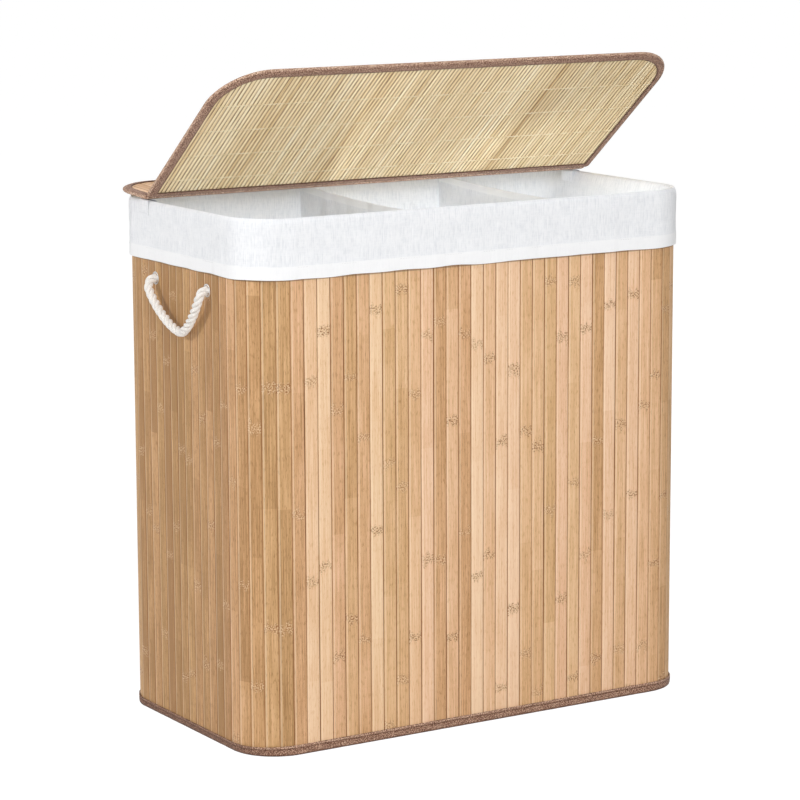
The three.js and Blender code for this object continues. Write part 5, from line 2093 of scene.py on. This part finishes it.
# %% The tape round the lid
LID_BOTTOM = 631.4 * MM
LID_TOP = 638 * MM
LID_EDGE_SHARE = 0.3
LID_TAPE_WAVE = 0.1 * MM
# Painted highlight at the fold's outer edge, painted shade at the tape's inner edge.
LID_EDGE_PAINTED_HIGHLIGHT = 1.2
LID_INNER_EDGE_PAINTED_SHADE = 1.9
LID_STITCH_INSET = 2 * MM


def lid_tape_section():
    """The fold: in along the underside, round the edge with a blunt lip, and back along the top."""
    half = TAPE_THICKNESS / 2
    low, high = LID_BOTTOM + half, LID_TOP - half
    middle_height = (low + high) / 2
    lip = LID_EDGE_SHARE * (high - low) / 2
    shoulder = LID_TAPE_WIDTH / 2
    return smooth_line([
        (LID_TAPE_WIDTH, low), (shoulder, low + half / 2), (shoulder / 2, low + (high - low) / 6),
        (1.6 * half, middle_height - lip), (half, middle_height), (1.6 * half, middle_height + lip),
        (shoulder / 2, high - (high - low) / 6), (shoulder, high - half / 2), (LID_TAPE_WIDTH, high),
    ], FOLD_COLUMNS)


def lid_tape_painted_light(inset):
    """A painted highlight within a quarter of the tape's width of the edge, and painted shade at the inner
    edge.
    """
    wear_and_painted_light = LID_EDGE_PAINTED_HIGHLIGHT * (1 - ease(inset, TAPE_THICKNESS / 2, LID_TAPE_WIDTH / 4))
    return wear_and_painted_light - LID_INNER_EDGE_PAINTED_SHADE * ease(inset, 0.84 * LID_TAPE_WIDTH, 0.97 * LID_TAPE_WIDTH)


def add_lid_tape(panel):
    """The fold carried round the panel's outline, with slow waves where it lies on the faces."""
    section = lid_tape_section()
    grid = np.stack([panel.outline(inset) for inset in section[:, 0]], axis=1)
    height = np.broadcast_to(section[:, 1], grid.shape[:2])
    wave = ripples(np.arange(len(grid))[:, None] / len(grid), section[None, :, 1], range(30, 90, 5), 0)
    leg = ease(section[:, 0], 3 * TAPE_THICKNESS / 2, LID_TAPE_WIDTH)[None, :]
    height = height + LID_TAPE_WAVE * wave * leg
    middle = np.concatenate([grid, height[..., None]], -1)
    wear_and_painted_light = np.broadcast_to(lid_tape_painted_light(section[:, 0]), middle.shape[:2])
    piece = cloth(f"{panel.name}_tape", panel.place(middle), TAPE_THICKNESS, binding_tape, True,
                  {"wear_and_painted_light": wear_and_painted_light})
    settle(piece, panel.body, "binding", f"{panel.name}_binding")
    declare_sheet(middle)
    add_lid_stitches(panel)


def add_lid_stitches(panel):
    """A row on each face, just inside the tape's inner edge."""
    line = panel.outline(LID_TAPE_WIDTH - LID_STITCH_INSET)
    for face, height, sign in (("below", LID_BOTTOM, -1), ("above", LID_TOP, 1)):
        flat = np.zeros((len(line), 1))
        up = panel.place(np.array([[0, 0, 0.0], [0, 0, sign]]))
        normal = np.tile(up[1] - up[0], (len(line), 1))
        row = stitch_row(
            f"{panel.name}_tape_stitches_{face}", panel.place(np.concatenate([line, flat + height], 1)),
            normal, tape_thread)
        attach(row, panel.body)


for panel in (rear_strip, flap):
    add_lid_slats(panel)
    add_core(panel)
    add_mat(panel)
    add_lid_tape(panel)

# %% [markdown]
# ## The cloth hinge
#
# A strip of tape glued over the joint is the hinge. It is made in one piece,
# bent at the flap's open angle.

# %% The cloth hinge
HINGE_TAPE_REACH = 11 * MM
HINGE_TAPE_THICKNESS = 0.5 * MM
HINGE_BEND = 2 * MM
HINGE_ROWS = 90
HINGE_COLUMNS = 23


def add_hinge_tape():
    """Steps along the cloth, each in its own direction, added up from the rear part to the flap."""
    width = LID_HALF_WIDTH - LID_HINGE_RADIUS
    x = np.linspace(-width, width, HINGE_ROWS)
    reach = np.linspace(HINGE_TAPE_REACH, -HINGE_TAPE_REACH, HINGE_COLUMNS)
    lift = HINGE_TAPE_THICKNESS / 6
    turned = LID_OPEN * ease(-reach, -HINGE_BEND, HINGE_BEND)
    angle = (turned[1:] + turned[:-1]) / 2
    step = np.diff(reach)
    y = np.concatenate([[0.0], np.cumsum(step * np.cos(angle))])
    z = np.concatenate([[0.0], np.cumsum(-step * np.sin(angle))])
    y = y - y[len(y) // 2] + HINGE_Y
    z = z - z[len(z) // 2] + HINGE_Z + lift
    middle = lift_rear(np.stack(np.broadcast_arrays(x[:, None], y[None, :], z[None, :]), -1))
    piece = cloth("lid_hinge_cloth", middle, HINGE_TAPE_THICKNESS, binding_tape)
    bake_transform(piece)
    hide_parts("lid_hinge_tape")
    declare_sheet(middle)


add_hinge_tape()

# %% [markdown]
# ## The straps that hold the lid
#
# A short white webbing at each end hooks over the cuff and holds the rear strip
# down. In the photograph only a corner of the left one shows. Three flat bits
# would do for that view, but one sheet bent over the rim serves every view. A
# square of stitches is sewn through its outer end.

# %% The straps that hold the lid
STRAP_WIDTH = 24 * MM
STRAP_THICKNESS = 0.5 * MM
STRAP_FROM_HINGE = 4 * MM
STRAP_OUTER_LOW = 612.4 * MM
STRAP_INNER_LOW = 616.1 * MM
STRAP_TOP = 630.7 * MM
STRAP_OUT = 3.0 * MM
STRAP_IN = -9 * MM
STRAP_FOLD = 1.6 * MM
STRAP_COLUMNS = 40
STRAP_ROWS = 9
STRAP_STITCH_INSET = 2.4 * MM


def add_strap(side):
    """A rounded hook of (offset, height), as wide as the webbing from front to rear."""
    soft = STRAP_FOLD
    top = STRAP_TOP
    section = smooth_line([
        (STRAP_OUT, STRAP_OUTER_LOW), (STRAP_OUT, STRAP_OUTER_LOW + 2 * soft),
        (STRAP_OUT, top - 3 * soft), (STRAP_OUT - soft / 3, top - soft / 2), (STRAP_OUT - soft, top),
        (STRAP_IN + soft, top), (STRAP_IN + soft / 3, top - soft / 2), (STRAP_IN, top - 3 * soft),
        (STRAP_IN, STRAP_INNER_LOW),
    ], STRAP_COLUMNS)
    y = HINGE_Y + STRAP_FROM_HINGE + np.linspace(0, STRAP_WIDTH, STRAP_ROWS)
    middle = np.stack(np.broadcast_arrays(
        side * (BODY_WIDTH / 2 + section[None, :, 0]), y[:, None], section[None, :, 1]), -1)
    name = side_name(side)
    piece = cloth(f"lid_strap_{name}_webbing", middle, STRAP_THICKNESS, liner_cloth)
    settle(piece, "hamper", "liner", f"lid_strap_{name}")
    declare_sheet(middle)
    out = side * (BODY_WIDTH / 2 + STRAP_OUT + STRAP_THICKNESS / 2)
    low, high = STRAP_OUTER_LOW + STRAP_STITCH_INSET, STRAP_OUTER_LOW + STRAP_WIDTH / 2
    near, far = y[0] + STRAP_STITCH_INSET, y[-1] - STRAP_STITCH_INSET
    square = np.array([(out, near, low), (out, far, low), (out, far, high), (out, near, high)])
    normal = np.tile([side, 0.0, 0.0], (4, 1))
    row = stitch_row(f"lid_strap_{name}_stitches", square, normal, white_thread)
    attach(row, "hamper")


for side in (-1, 1):
    add_strap(side)

# %% [markdown]
# ## Nodes that stay
#
# Not every solid has to be made again. The base board and the wire frame inside
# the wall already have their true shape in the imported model, so they keep their
# meshes and only get a material.

# %% Nodes that stay
BOARDS = ("base_board",)


def wires():
    """The names of the frame's wire nodes."""
    return [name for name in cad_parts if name.startswith("frame_")]


for names, material in ((BOARDS, grey_board), (wires(), plated_metal)):
    for name in names:
        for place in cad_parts[name].material_slots:
            place.material = material
        print(name, "keeps its solid, in", material.name)
